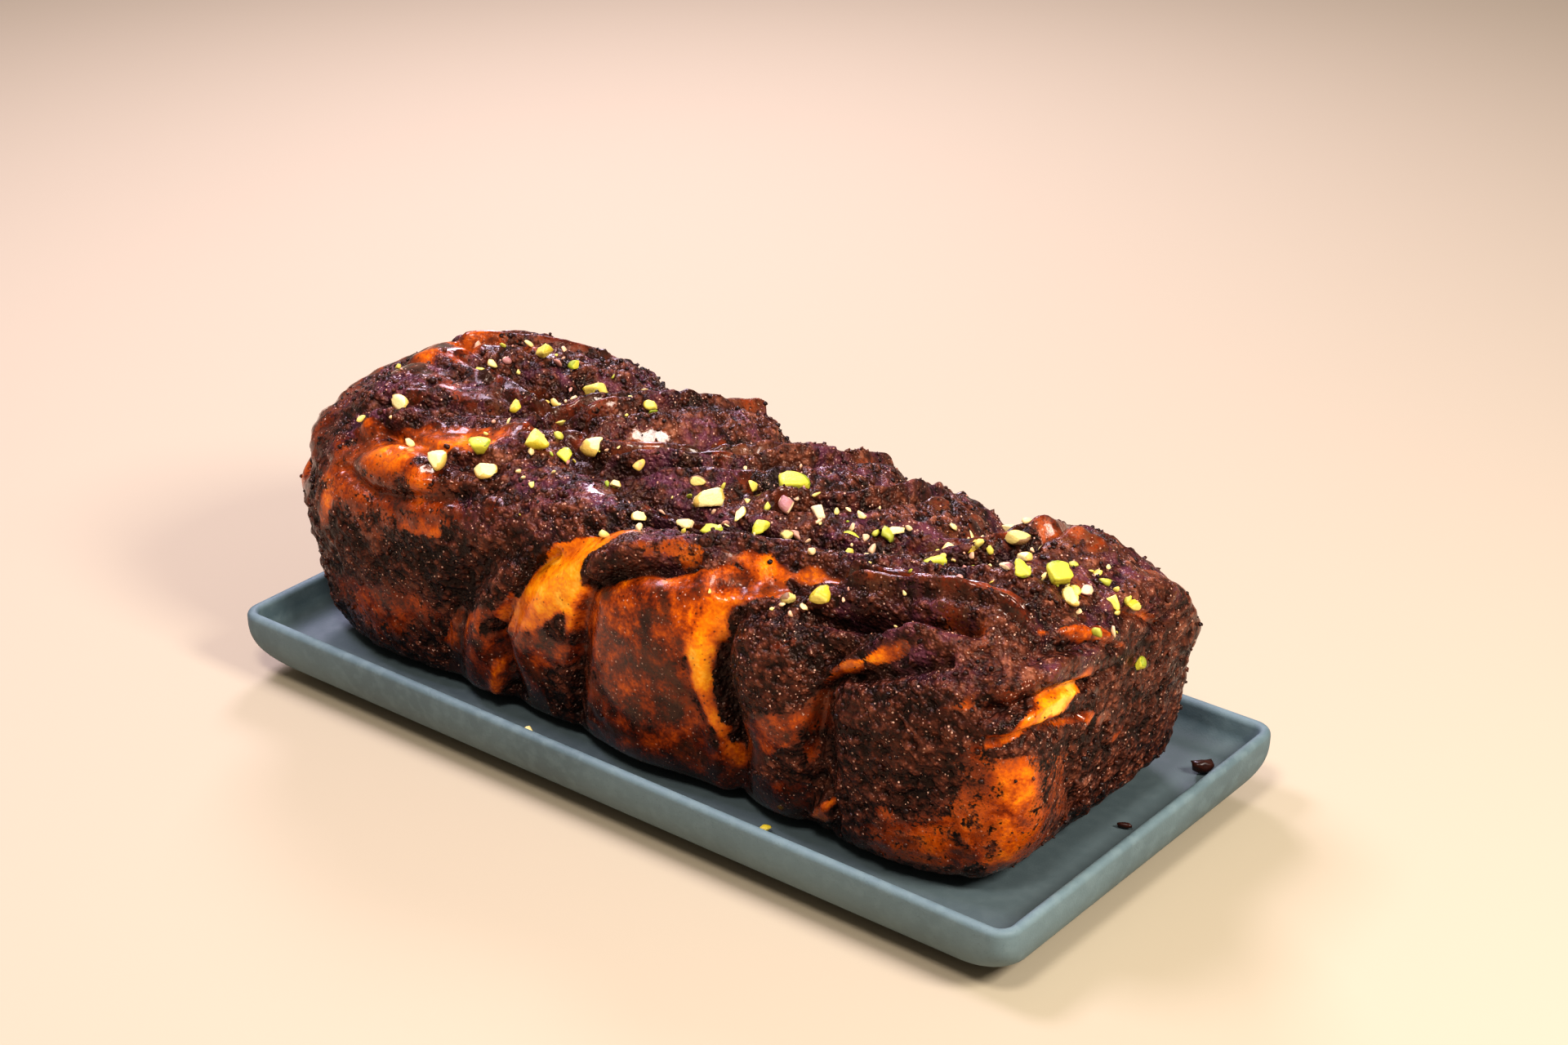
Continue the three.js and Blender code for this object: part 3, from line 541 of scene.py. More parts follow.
# %% Patches on the ends and the back
# On the ends each point is (across, level, half width, bake), and on the back it is
# (station, girth, half width, bake) again.
RIGHT_END_PATCHES = [
    (0.68, 12.0, [(-99, 8, 9, 0.46), (-84, -4, 13, 0.42), (-76, -36, 15, 0.44), (-76, -64, 15, 0.46),
                  (-58, -86, 13, 0.56)]),
    (1.0, 3.0, [(-86, 4, 3, 0.42), (-80, -8, 5, 0.4), (-84, -24, 3, 0.5)]),
    (0.9, 3.0, [(-84, -36, 2, 0.5), (-82, -60, 3, 0.46), (-84, -84, 3, 0.56)]),
    (0.56, 9.0, [(-52, 10, 7, 0.46), (-44, -14, 9, 0.48), (-42, -44, 9, 0.52)]),
    (0.58, 4.0, [(-42, -56, 4, 0.6), (-32, -72, 5, 0.62), (-20, -88, 4, 0.7)]),
    (0.6, 3.0, [(34, 96, 3, 0.76), (56, 78, 4, 0.76), (74, 46, 4, 0.78), (78, 10, 3, 0.84)]),
    (0.8, 2.0, [(48, 92, 2, 0.72), (70, 70, 3, 0.66), (84, 36, 3, 0.7), (88, 0, 2, 0.8)]),
    (0.5, 2.4, [(20, 30, 3, 0.78), (26, 12, 3.4, 0.78), (31, -8, 2.4, 0.8)]),
    (0.5, 4.0, [(56, 20, 3, 0.84), (62, -20, 4, 0.84), (60, -50, 4, 0.86)]),
    (0.5, 3.0, [(-96, 62, 3, 0.8), (-76, 66, 5, 0.78), (-46, 68, 5, 0.78), (-20, 56, 4, 0.8)]),
    (0.8, 1.4, [(-98, 32, 2, 0.6), (-84, 33, 2.4, 0.5), (-62, 29, 2.4, 0.5), (-40, 17, 1.8, 0.56),
                (-22, 8, 1.4, 0.62), (-8, 0, 0.8, 0.68)]),
    (0.9, 1.2, [(-99, 24, 1, 0.56), (-90, 30, 2, 0.44), (-78, 38, 3, 0.34), (-66, 44, 3.6, 0.26),
                (-54, 47, 4.2, 0.22), (-40, 50, 3.2, 0.24), (-28, 50, 1.4, 0.4)]),
    (1.0, 1.2, [(-84, 33, 0.8, 0.16), (-66, 41, 1.6, 0.04), (-50, 45, 1.6, 0), (-38, 48, 0.9, 0.06)]),
    (0.94, 1.4, [(-50, 96, 1.4, 0.62), (-34, 90, 2.2, 0.58), (-19, 81, 2.4, 0.56), (-7, 67, 1.8, 0.62),
                 (4, 54, 1.4, 0.62)]),
    (0.9, 0.8, [(13, 86, 0.6, 0.62), (24, 73, 1.2, 0.54), (34, 60, 1.3, 0.58), (43, 47, 0.6, 0.66)]),
    (1.0, 1.0, [(5, -25, 1.8, 0.46), (12, -23, 1.8, 0.5)]),
    (0.7, 2.4, [(-14, -33, 2, 0.7), (-11, -36, 1, 0.74)]),
    (0.7, 2.4, [(8, -10, 1.6, 0.7), (13, -14, 1.6, 0.74)]),
    (0.1, 1.0, [(-90, 19, 2, 0), (-74, 21, 3, 0), (-56, 14, 3.4, 0), (-42, 4, 3, 0)]),
]
LEFT_END_PATCHES = [
    (0.94, 2.0, [(-94, 50, 3, 0.74), (-76, 64, 5, 0.62), (-44, 78, 6, 0.62), (-4, 88, 5, 0.72)]),
    (0.6, 4.0, [(-98, 60, 4, 0.8), (-80, 76, 6, 0.76), (-50, 90, 6, 0.74)]),
    (0.94, 1.8, [(-98, 22, 3, 0.7), (-76, 28, 5, 0.54), (-44, 40, 6, 0.48), (-10, 46, 4, 0.58),
                 (14, 43, 2, 0.68)]),
    (0.62, 4.0, [(-84, -12, 6, 0.78), (-50, -2, 8, 0.7), (-16, 3, 7, 0.68), (18, 0, 5, 0.74)]),
    (0.9, 2.4, [(26, 78, 4, 0.74), (56, 56, 5, 0.62), (73, 20, 5, 0.66), (76, -16, 3, 0.78)]),
    (0.58, 5.0, [(-66, -58, 8, 0.84), (-20, -54, 10, 0.78), (24, -60, 8, 0.82), (66, -60, 6, 0.86)]),
    (0.0, 1.0, [(-92, 36, 2, 0), (-60, 52, 2.6, 0), (-20, 62, 2.6, 0), (20, 58, 2, 0)]),
    (0.0, 1.2, [(-74, 8, 2, 0), (-32, 21, 3, 0), (10, 25, 2.4, 0), (44, 6, 3, 0)]),
]
BACK_PATCHES = [
    (0.94, 1.6, [(-88, 94, 5, 0.9), (-80, 87, 8, 0.66), (-73, 80, 6, 0.54), (-67, 76, 2.4, 0.7)]),
    (1.0, 1.0, [(-50, 98, 5, 0.94), (-44, 90, 9, 0.7), (-38, 83, 9, 0.5), (-33, 79, 4, 0.52),
                (-28, 75.6, 1.6, 0.7)]),
    (1.0, 1.0, [(-8, 98, 6, 0.95), (0, 90, 10, 0.76), (8, 83, 9, 0.56), (14, 79, 4, 0.56),
                (18, 75.6, 1.6, 0.7)]),
    (1.0, 1.0, [(34, 98, 5, 0.94), (42, 90, 9, 0.68), (48, 83, 7, 0.5), (52, 79, 3, 0.54),
                (55, 76, 1.4, 0.7)]),
    (0.7, 5.0, [(78, 96, 6, 0.88), (84, 88, 8, 0.72), (86, 78, 5, 0.7)]),
    (0.0, 1.0, [(-36, 88, 2, 0), (-30, 82, 1.6, 0)]),
    (0.1, 1.4, [(10, 92, 2, 0), (16, 85, 1.4, 0)]),
    (0.2, 1.6, [(-68, 98, 5, 0), (-60, 88, 4, 0), (-52, 78, 3, 0)]),
]
print(len(RIGHT_END_PATCHES), len(LEFT_END_PATCHES), len(BACK_PATCHES), "patches elsewhere")

# %% Lay the patches
RAGGED_EDGE = 1.04
RAGGED_MOST = 1.6
BAKED_COVER = 0.5
PLAIN_BAKE = 0.86


def lay_patches(points, dough, bake, patches, place):
    """Over the coats so far: share = 1 inside the ragged edge of the patch and 0 outside. A
    patch that is mostly filling leaves the bake under it alone."""
    ragged = RAGGED_EDGE * (lumps(points, 7.0, 10) + lumps(points, 3.2, 11))
    for cover, soft, route in patches:
        a, b, widths, bakes = np.array(route, float).T
        gap, baked = route_gap(points, place(a, b), widths, bakes)
        share = ease(soft, -soft, gap + ragged * min(soft, RAGGED_MOST))
        if cover >= BAKED_COVER:
            bake = blend(bake, baked, share)
        dough = blend(dough, cover, share)
    return dough, bake


def wild_patches(points):
    """Rough brown patches wherever slow noise is high, for what the lists leave bare."""
    return 0.75 * ease(0.42, 0.8, lumps(points * [1, 1.3, 1], 13, 21) + 0.4 * lumps(points, 5, 22))


dough = wild_patches(plain_skin) * ease(30, 60, plain_skin[:, 2])
bake = np.full(len(plain_skin), PLAIN_BAKE)
for patches, place in [(SIDE_PATCHES, on_side), (BACK_PATCHES, on_side),
                       (RIGHT_END_PATCHES, on_right_end), (LEFT_END_PATCHES, on_left_end)]:
    dough, bake = lay_patches(plain_skin, dough, bake, patches, place)
print("share of plain dough", round(float(dough.mean()), 3))

# %% [markdown]
# ## The skin itself
# The skin is lifted along its normal by the strands and folds. Filling is crumbly, so it also
# gets lumps of a few millimetres. Baked dough is smooth, with only a slow waviness.

# %% Raise the skin
FOLD_STRENGTH = 1.3
TOP_WRINKLE = 1.1
CRUMB_HEIGHT = 0.9
DOUGH_WAVE = 0.25
DOUGH_SWELL = 0.5
FILLING_SINK = 0.2
FOOT_BAND = 8.0
EDGE_ROOM = 1.5


def fold_noise(points):
    """Thin ridges that follow the twist: noise in coordinates turned along the strands."""
    along = points[:, 0] * 0.8 + points[:, 1] * 0.6
    side = -points[:, 0] * 0.6 + points[:, 1] * 0.8
    stretched = np.stack([along / 5.0, side, points[:, 2] * 0.8], axis=1)
    return lumps(stretched, 3.4, 31)


def crumb_noise(points):
    """Lumps of three sizes: 1 - |noise| for the two larger ones, which leaves crests between
    pits, and plain noise for the finest."""
    coarse = 1 - np.abs(lumps(points, 7.0, 41))
    middle = 1 - np.abs(lumps(points, 3.8, 42))
    fine = lumps(points, 2.1, 43)
    return 1.2 * (coarse - 0.6) + 1.5 * (middle - 0.6) + 0.8 * fine


lift = relief(plain_skin, STRANDS + CREASES, on_side) - MEAN_LIFT
folds = relief(plain_skin, FINE_FOLDS, on_side) + relief(plain_skin, RIGHT_END_FOLDS, on_right_end)
folds += relief(plain_skin, LEFT_END_FOLDS, on_left_end)
lift += FOLD_STRENGTH * folds + relief(plain_skin, BACK_FOLDS, on_side)
over_top = ease(70, 84, plain_skin[:, 2])
lift += TOP_WRINKLE * over_top * fold_noise(plain_skin)
crumble = crumb_noise(plain_skin)
lift += (1 - dough) * CRUMB_HEIGHT * crumble + dough * DOUGH_WAVE * lumps(plain_skin, 9, 44)
lift += DOUGH_SWELL * dough - FILLING_SINK
lift *= ease(FOOT, FOOT + FOOT_BAND, plain_skin[:, 2])
skin = plain_skin + plain_normals * lift[:, None]
skin[:, 2] = np.maximum(skin[:, 2], FOOT)
skin[:, 0] = np.clip(skin[:, 0], loaf_low[0] - EDGE_ROOM, loaf_high[0] + EDGE_ROOM)
print("skin from", np.round(skin.min(0), 1), "to", np.round(skin.max(0), 1))

# %% Close the foot
def foot_ring(places):
    """Numbers of the grid points round the foot, in order, seen from above anticlockwise."""
    low = np.flatnonzero(places[:, 2] == 0)
    x, y = places[low, 0] / CELLS_LONG - 0.5, places[low, 1] / CELLS_WIDE - 0.5
    return low[np.argsort(np.arctan2(y, x))]


ring = foot_ring(grid_places)
foot_middle = len(skin)
skin_points = np.vstack([skin, [LOAF_OFFSET, 0, FOOT]])
fan = np.stack([np.roll(ring, -1), ring, np.full(len(ring), foot_middle)], axis=1)
skin_faces = skin_quads.tolist() + fan.tolist()
loaf = make_piece("loaf_crust", skin_points, skin_faces)
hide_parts("loaf")

# %% [markdown]
# ## Shader arithmetic
# A material is a graph of nodes. Written as nodes, even `1 - x * 0.5` takes two boxes and three
# wires. The class below wraps a socket so that ordinary arithmetic adds those nodes.

# %% Sockets with arithmetic
class Value:
    """A number that a node gives, which adds Math nodes when it is used in arithmetic."""

    def __init__(self, recipe, socket):
        self.recipe = recipe
        self.socket = socket

    def math(self, operation, first, second):
        made = self.recipe.node("ShaderNodeMath", {"operation": operation}, {0: first, 1: second})
        return Value(self.recipe, made.outputs[0])

    def __add__(self, other):
        return self.math("ADD", self, other)

    def __sub__(self, other):
        return self.math("SUBTRACT", self, other)

    def __mul__(self, other):
        return self.math("MULTIPLY", self, other)

    def __rsub__(self, other):
        return self.math("SUBTRACT", other, self)

    __radd__ = __add__
    __rmul__ = __mul__

    def at_most(self, other):
        return self.math("MINIMUM", self, other)

    def at_least(self, other):
        return self.math("MAXIMUM", self, other)


class Recipe:
    """One material and the few moves that every finish here is made from."""

    def __init__(self, name):
        self.material = bpy.data.materials.new(name)
        self.material.use_nodes = True
        self.tree = self.material.node_tree
        self.surface = self.tree.nodes["Principled BSDF"]
        self.place = self.node("ShaderNodeTexCoord", {}, {}).outputs["Object"]

    def node(self, kind, settings, inputs):
        """Adds a node, sets it, and links or sets its sockets."""
        made = self.tree.nodes.new(kind)
        for name, value in settings.items():
            if name == "stops":
                self.set_stops(made, value)
            else:
                setattr(made, name, value)
        for name, value in inputs.items():
            self.feed(made.inputs[name], value)
        return made

    @staticmethod
    def set_stops(made, stops):
        """Gives a ramp node its (position, colour) stops."""
        ramp = made.color_ramp.elements
        while len(ramp) < len(stops):
            ramp.new(0.5)
        for element, (position, colour) in zip(ramp, stops):
            element.position = position
            element.color = (*colour, 1)

    def feed(self, socket, value):
        """Links a socket to a value of another node, or sets it to a number or a colour."""
        source = value.socket if isinstance(value, Value) else value
        if isinstance(source, bpy.types.NodeSocket):
            self.tree.links.new(source, socket)
        elif isinstance(source, (tuple, list)) and len(source) == 3 and socket.type == "RGBA":
            socket.default_value = (*source, 1)
        else:
            socket.default_value = source

    def set(self, **sockets):
        """Feeds the surface's sockets, with _ for a space in their names."""
        for name, value in sockets.items():
            self.feed(self.surface.inputs[name.replace("_", " ")], value)

    def layer(self, name):
        """A layer that was painted on the points of the piece."""
        made = self.node("ShaderNodeAttribute", {"attribute_name": name}, {})
        return Value(self, made.outputs["Fac"])

    def noise(self, size, detail=2.0):
        """Noise from 0 to 1 whose lumps measure about the given millimetres."""
        made = self.node("ShaderNodeTexNoise", {}, {
            "Vector": self.place, "Scale": 1 / (size * MM), "Detail": detail})
        return Value(self, made.outputs["Fac"])

    def cells(self, size):
        """Distance to the nearest of many scattered dots, about the given millimetres apart."""
        made = self.node("ShaderNodeTexVoronoi", {}, {
            "Vector": self.place, "Scale": 1 / (size * MM)})
        return Value(self, made.outputs["Distance"])

    def between(self, value, low, high, start=0.0, end=1.0):
        """start below low and end above high, smooth between."""
        made = self.node("ShaderNodeMapRange", {"interpolation_type": "SMOOTHSTEP"}, {
            "Value": value, "From Min": low, "From Max": high, "To Min": start, "To Max": end})
        return Value(self, made.outputs["Result"])

    def ramp(self, value, stops):
        """The colour at a value, eased along the stops."""
        return self.node("ShaderNodeValToRGB", {"stops": stops}, {"Fac": value}).outputs["Color"]

    def mix(self, share, first, second):
        """The first colour where the share is 0 and the second where it is 1."""
        made = self.node("ShaderNodeMix", {"data_type": "RGBA"}, {0: share, 6: first, 7: second})
        return made.outputs[2]

    def bump(self, height, depth, under=None):
        """A normal for relief that is depth millimetres from low to high."""
        inputs = {"Height": height, "Strength": 1.0, "Distance": depth * MM}
        if under is not None:
            inputs["Normal"] = under
        return self.node("ShaderNodeBump", {}, inputs).outputs["Normal"]


def srgb(red, green, blue):
    """A colour given from 0 to 255, as the linear numbers that light adds up in."""
    share = np.array([red, green, blue]) / 255
    linear = np.where(share <= 0.04045, share / 12.92, ((share + 0.055) / 1.055) ** 2.4)
    return tuple(float(v) for v in linear)


print("gold is", [round(v, 3) for v in srgb(240, 160, 40)])

# %% [markdown]
# ## Crust
# The crust is brushed with syrup while it is hot. The syrup shines where it pooled, above all on
# smooth dough, and a violet-brown sheen painted on the top stands for its reflection. The look
# could be one picture laid over the loaf, but a rule keeps its detail at any distance. So seven
# layers are worked out on the skin: dough, bake, glaze, violet sheen (a painted reflection),
# crease shade (painted shade in the folds), tone (how light the filling is, with painted light on
# the top and the right end) and pit (how deep it lies, for painted shade in the pits). The shader
# turns bake into colour, breaks the edge between dough and filling with fine noise, roughens the
# filling with crumbs and paints shade between them, paints pale glints of highlight, and puts a
# clear coat on dough.

# %% Glaze layers
# Wet patches as (station, girth, half width) routes: where the glaze pooled and shines most.
POOLS = [
    [(-80, 34, 2), (-66, 36.6, 3), (-52, 39, 3)],
    [(-76, 27, 4), (-62, 27.6, 5), (-50, 27, 4), (-36, 28, 3)],
    [(-86, 38, 3), (-84, 46, 3)],
    [(36, 28.8, 2), (44, 29.6, 3), (50, 30.6, 2)],
    [(56, 33, 5), (66, 35, 6), (78, 36, 7), (94, 37, 6)],
    [(60, 42, 4), (76, 44, 5), (92, 46, 4)],
    [(-90, 24, 4), (-76, 22, 5), (-60, 22, 4)],
    [(-32, 13, 1.6), (-28.8, 17.4, 2), (-25.6, 20.6, 1.2)],
    [(-30, 44, 3), (-25, 48, 4), (-22, 54, 3)],
    [(30, 45, 3), (46, 46, 3)],
    [(-60, 50, 4), (-48, 52, 4)],
]
POOL_EDGE = 5.0


def furrows(routes):
    """Those routes that sink the skin."""
    return [route for route in routes if route[1] < 0]


def with_foot(layer):
    """The layer with a 0 for the one point under the foot."""
    return np.append(layer, 0)


glaze = np.zeros(len(plain_skin))
for pool in POOLS:
    a, b, widths = np.array(pool, float).T
    gap, _ = route_gap(plain_skin, on_side(a, b), widths)
    glaze = np.maximum(glaze, ease(POOL_EDGE, -1.0, gap))
glaze = np.clip(0.4 + 0.7 * glaze + 0.2 * dough + 0.3 * lumps(plain_skin, 14, 51), 0, 1)
# Painted reflection: a violet sheen laid into the colour over the top of the loaf, in slow patches.
bloom = over_top * ease(-0.2, 0.6, lumps(plain_skin * [1, 1.4, 1], 9, 52))
sunk = relief(plain_skin, furrows(FINE_FOLDS), on_side)
sunk += 0.6 * relief(plain_skin, CREASES + BACK_FOLDS, on_side)
sunk += relief(plain_skin, furrows(RIGHT_END_FOLDS), on_right_end)
sunk += relief(plain_skin, furrows(LEFT_END_FOLDS), on_left_end)
# Painted shade: the folds and furrows are darkened in the colour, less on smooth dough.
crease = ease(1.2, 3.6, -sunk + 0.8 * lumps(plain_skin, 3.0, 54)) * (1 - 0.7 * dough)
tone = 0.5 + 0.34 * lumps(plain_skin, 12, 55) + 0.2 * lumps(plain_skin, 5, 56)
# Painted light: the filling is made lighter over the top and towards the right end, where the light falls
# most.
tone += 0.14 * over_top + 0.1 * ease(60, 135, plain_skin[:, 0])
foot_shade = ease(FOOT + 20, FOOT, plain_skin[:, 2])
bake = np.clip(bake + 0.1 * lumps(plain_skin, 7, 53) + 0.1 * foot_shade, 0, 1)
# Painted shade: the filling is coloured darker where it lies deep between its crumbs.
pit = 0.5 * np.clip(crumble, -1, 1)
paint(loaf, dough=with_foot(dough), bake=with_foot(bake), glaze=with_foot(glaze),
      bloom=with_foot(bloom), crease=with_foot(crease), tone=with_foot(tone), pit=with_foot(pit))
print("mean glaze", round(float(glaze.mean()), 2))

# %% Crust colours
# From gold through orange to a red-brown that is nearly burnt, by bake.
BAKE_STOPS = [
    (0.0, srgb(255, 194, 72)), (0.14, srgb(250, 158, 10)), (0.28, srgb(228, 118, 4)),
    (0.44, srgb(182, 80, 5)), (0.6, srgb(138, 54, 7)), (0.76, srgb(94, 32, 8)),
    (0.9, srgb(60, 21, 9)), (1.0, srgb(34, 13, 9)),
]
FILLING_STOPS = [
    (0.1, srgb(20, 9, 7)), (0.34, srgb(62, 29, 20)), (0.6, srgb(98, 52, 36)),
    (0.95, srgb(152, 94, 70)),
]
SMUDGE, DUSTY, SPECK = srgb(66, 40, 26), srgb(158, 92, 54), srgb(38, 15, 9)
# The three colours below are painted light: a violet sheen of reflection, pale glints of highlight and the
# dark shade of the creases.
SHEEN_VIOLET, GLINT_HIGHLIGHT, CREASE_SHADE = srgb(102, 54, 74), srgb(214, 170, 148), srgb(24, 10, 7)


def dough_colour(r, bake_layer, tone_and_light_layer, fine, patch, middle):
    """Browned unevenly, then smudged, dusted, and specked with filling in two sizes."""
    uneven = (patch - 0.5) * 0.9 + (fine - 0.5) * 0.5 + (middle - 0.5) * 0.7
    browned = bake_layer + uneven * r.between(bake_layer, 0.3, 0.6, 0.55, 1.05)
    smudge = r.between(middle, 0.5, 0.68) * r.between(bake_layer, 0.35, 0.6) * 0.55
    dusty = r.between(tone_and_light_layer, 0.55, 0.9) * r.between(fine, 0.35, 0.65) * 0.3
    large_specks = r.between(r.cells(1.9), 0.26, 0.14) * r.between(patch, 0.44, 0.58)
    small_specks = r.between(r.cells(1.1), 0.24, 0.12) * r.between(middle, 0.46, 0.56)
    specks = large_specks + small_specks * r.between(bake_layer, 0.3, 0.5)
    colour = r.mix(smudge, r.ramp(browned, BAKE_STOPS), SMUDGE)
    colour = r.mix(dusty, colour, DUSTY)
    return r.mix(specks.at_most(1.0) * 0.72, colour, SPECK)


def filling_colour(r, tone_and_light_layer, crumbs, patch):
    """Painted shade between its crumbs and in its pits, with a painted violet sheen of reflection where that
    layer lies.
    """
    # Painted shade: darker between the crumbs and in the pits.
    shade = crumbs * 0.85 + tone_and_light_layer * 0.45 + (patch - 0.5) * 0.5 + r.layer("pit") * 0.4 - 0.33
    # Painted reflection: the violet sheen over the top.
    painted_sheen = r.layer("bloom") * r.between(patch, 0.38, 0.6) * 0.6
    return r.mix(painted_sheen, r.ramp(shade, FILLING_STOPS), SHEEN_VIOLET)


print(len(BAKE_STOPS), "stops for dough and", len(FILLING_STOPS), "for filling")

# %% Crust material
def crust_material():
    """Dough and filling with a ragged edge between them, painted glints of highlight and painted shade in the
    creases.
    """
    r = Recipe("crust")
    bake_layer, tone_and_light_layer, glaze_layer = r.layer("bake"), r.layer("tone"), r.layer("glaze")
    fine, grain = r.noise(1.0, 3), r.noise(0.45, 2)
    patch, middle, broad = r.noise(4.5, 3), r.noise(8.0, 3), r.noise(16.0, 2)
    mask = r.between(r.layer("dough") + (fine - 0.5) * 0.9 + (patch - 0.5) * 1.1, 0.44, 0.74)
    crumbs = (r.between(r.cells(3.0), 0.0, 0.75, 1.0, 0.0) * 0.5
              + r.between(r.cells(1.3), 0.0, 0.7, 1.0, 0.0) * 0.3 + fine * 0.35)
    # Painted highlights: pale glints of syrup sparkle, laid into the colour, fewer on pale dough.
    painted_glints = (r.between(r.cells(2.4), 0.16, 0.09) * r.between(grain, 0.36, 0.5)
              + r.between(r.cells(1.4), 0.17, 0.09) * r.between(patch, 0.46, 0.6))
    painted_glints *= 1 - mask * r.between(bake_layer, 0.65, 0.4, 0.4, 1.0)
    colour = r.mix(mask, filling_colour(r, tone_and_light_layer, crumbs, patch),
                   dough_colour(r, bake_layer, tone_and_light_layer, fine, patch, middle))
    colour = r.mix(painted_glints.at_most(0.8), colour, GLINT_HIGHLIGHT)
    # Painted shade in the creases, laid over the colour.
    r.set(Base_Color=r.mix(r.layer("crease") * 0.72, colour, CREASE_SHADE))
    wet = r.between(patch, 0.35, 0.65, 0.1, -0.08)
    r.set(Roughness=(0.36 - glaze_layer * 0.2 + wet).at_least(0.16))
    r.set(Specular_IOR_Level=0.26, Specular_Tint=(1.0, 0.7, 0.58))
    r.set(Coat_Weight=mask * glaze_layer * r.between(broad, 0.35, 0.6, 0.5, 1.0))
    r.set(Coat_Roughness=0.06, Coat_IOR=1.33)
    crumb_bump = r.bump(crumbs * (1 - mask), 1.4)
    wrinkle = (r.noise(2.6, 2) * 0.5 + fine * 0.22 + grain * 0.1) * mask
    r.set(Normal=r.bump(wrinkle, 0.55, crumb_bump))
    return r.material


loaf.data.materials.append(crust_material())
print("crust nodes", len(loaf.data.materials[0].node_tree.nodes))

# %% [markdown]
# ## Tray
# The tray is cast stoneware with a matt blue-grey glaze. Its outline is a rectangle with round
# corners, and its wall curves in towards the foot, so it is a stack of outlines: up the
# outside, over the rounded rim, and down to the floor inside.

# %% Tray surface
RIM_WIDTH = 3.6
WALL_FLARE = 15.2
WALL_CURVE = 3.1
RIM_CORNER = 7.0
FOOT_CORNER = 24.0
FOOT_UNDERCUT = 1.2
FLOOR_FILLET = 6.0
WALL_ROWS, RIM_ROWS, FILLET_ROWS = 26, 13, 10
TRAY_HEIGHT = tray_high[2]
TRAY_HALF = (tray_high[:2] - tray_low[:2]) / 2


def tray_profile():
    """Rows of (inset, corner radius, height): wall inset = flare * (1 - t)^curve for t from
    foot to shoulder, a half circle over the rim, and a quarter circle down to the floor. The
    lowest row is drawn in a little, which softens the edge of the foot."""
    shoulder = TRAY_HEIGHT - RIM_WIDTH / 2
    t = np.linspace(0, 1, WALL_ROWS) ** 1.6
    fall = (1 - t) ** WALL_CURVE
    wall = np.stack([WALL_FLARE * fall, blend(RIM_CORNER, FOOT_CORNER, fall), shoulder * t], axis=1)
    wall[0, 0] += FOOT_UNDERCUT
    turn = np.linspace(0, math.pi, RIM_ROWS + 1)[1:]
    inset = RIM_WIDTH / 2 * (1 - np.cos(turn))
    rim = np.stack([inset, RIM_CORNER - inset, shoulder + RIM_WIDTH / 2 * np.sin(turn)], axis=1)
    turn = np.linspace(0, math.pi / 2, FILLET_ROWS)
    inner = np.stack([RIM_WIDTH + FLOOR_FILLET * (1 - np.cos(turn)),
                      np.full(len(turn), RIM_CORNER),
                      TRAY_FLOOR + FLOOR_FILLET * (1 - np.sin(turn))], axis=1)
    return np.vstack([wall, rim, inner])


def tray_surface(corner_steps=14):
    """Each profile row carried round the outline, corner arcs joined by straight sides."""
    profile = tray_profile()
    quarter = np.linspace(0, math.pi / 2, corner_steps + 1)
    angles = np.concatenate([quarter + i * math.pi / 2 for i in range(4)])
    centre_x = np.repeat([1, -1, -1, 1], corner_steps + 1)
    centre_y = np.repeat([1, 1, -1, -1], corner_steps + 1)
    inset, radius, level = (column[:, None] for column in profile.T)
    x = centre_x * (TRAY_HALF[0] - inset - radius) + radius * np.cos(angles)
    y = centre_y * (TRAY_HALF[1] - inset - radius) + radius * np.sin(angles)
    points = np.stack([x, y, level + 0 * x], axis=-1)
    rows, count = x.shape
    i, j = np.meshgrid(np.arange(rows - 1), np.arange(count), indexing="ij")
    a, b = i * count + j, i * count + (j + 1) % count
    faces = np.stack([a, b, b + count, a + count], axis=-1).reshape(-1, 4).tolist()
    faces.append(list(range(count))[::-1])
    faces.append(list(range((rows - 1) * count, rows * count)))
    return points.reshape(-1, 3), faces


tray_points, tray_faces = tray_surface()
tray = make_piece("tray_body", tray_points, tray_faces)
row_of_point = np.repeat(np.arange(WALL_ROWS + RIM_ROWS + FILLET_ROWS),
                         len(tray_points) // (WALL_ROWS + RIM_ROWS + FILLET_ROWS))
# Painted shade: the floor inside the tray, shaded by its wall and the loaf, is darkened in the colour.
inside = ease(TRAY_FLOOR + FLOOR_FILLET, TRAY_FLOOR, tray_points[:, 2])
paint(tray, inside=inside * (row_of_point >= WALL_ROWS + RIM_ROWS))
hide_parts("serving_tray")
print("tray", np.round(tray_points.max(0) - tray_points.min(0), 2))

# %% Stoneware material
def stoneware_material():
    """Blue-grey that drifts slowly, with fine mottling and faint pinholes, and painted shade darkening the
    floor inside.
    """
    r = Recipe("stoneware")
    slow, fine, grain = r.noise(60, 3), r.noise(4, 4), r.noise(0.6, 2)
    colour = r.mix(r.between(slow, 0.3, 0.7), srgb(84, 100, 104), srgb(102, 120, 124))
    colour = r.mix(r.between(fine, 0.4, 0.7) * 0.4, colour, srgb(118, 134, 136))
    colour = r.mix(r.between(grain, 0.62, 0.74) * 0.3, colour, srgb(74, 86, 92))
    # Painted shade on the floor inside.
    colour = r.mix(r.layer("inside") * r.between(slow, 0.2, 0.8, 0.7, 0.9), colour, srgb(76, 86, 88))
    r.set(Base_Color=colour, Specular_IOR_Level=0.4)
    r.set(Roughness=r.between(fine, 0.3, 0.7, 0.56, 0.72))
    r.set(Normal=r.bump(grain * 0.5 + fine * 0.5, 0.12))
    return r.material


tray.data.materials.append(stoneware_material())

# %% [markdown]
# ## Chopped pistachio
# A chopped kernel keeps some of its rounded outside, with papery skin on it, and shows flat
# pale-green cuts elsewhere. So each piece is an ellipsoid whose radius is held down by a few
# random cutting planes. It takes its place, its axes and its sizes from the frame's chunk.

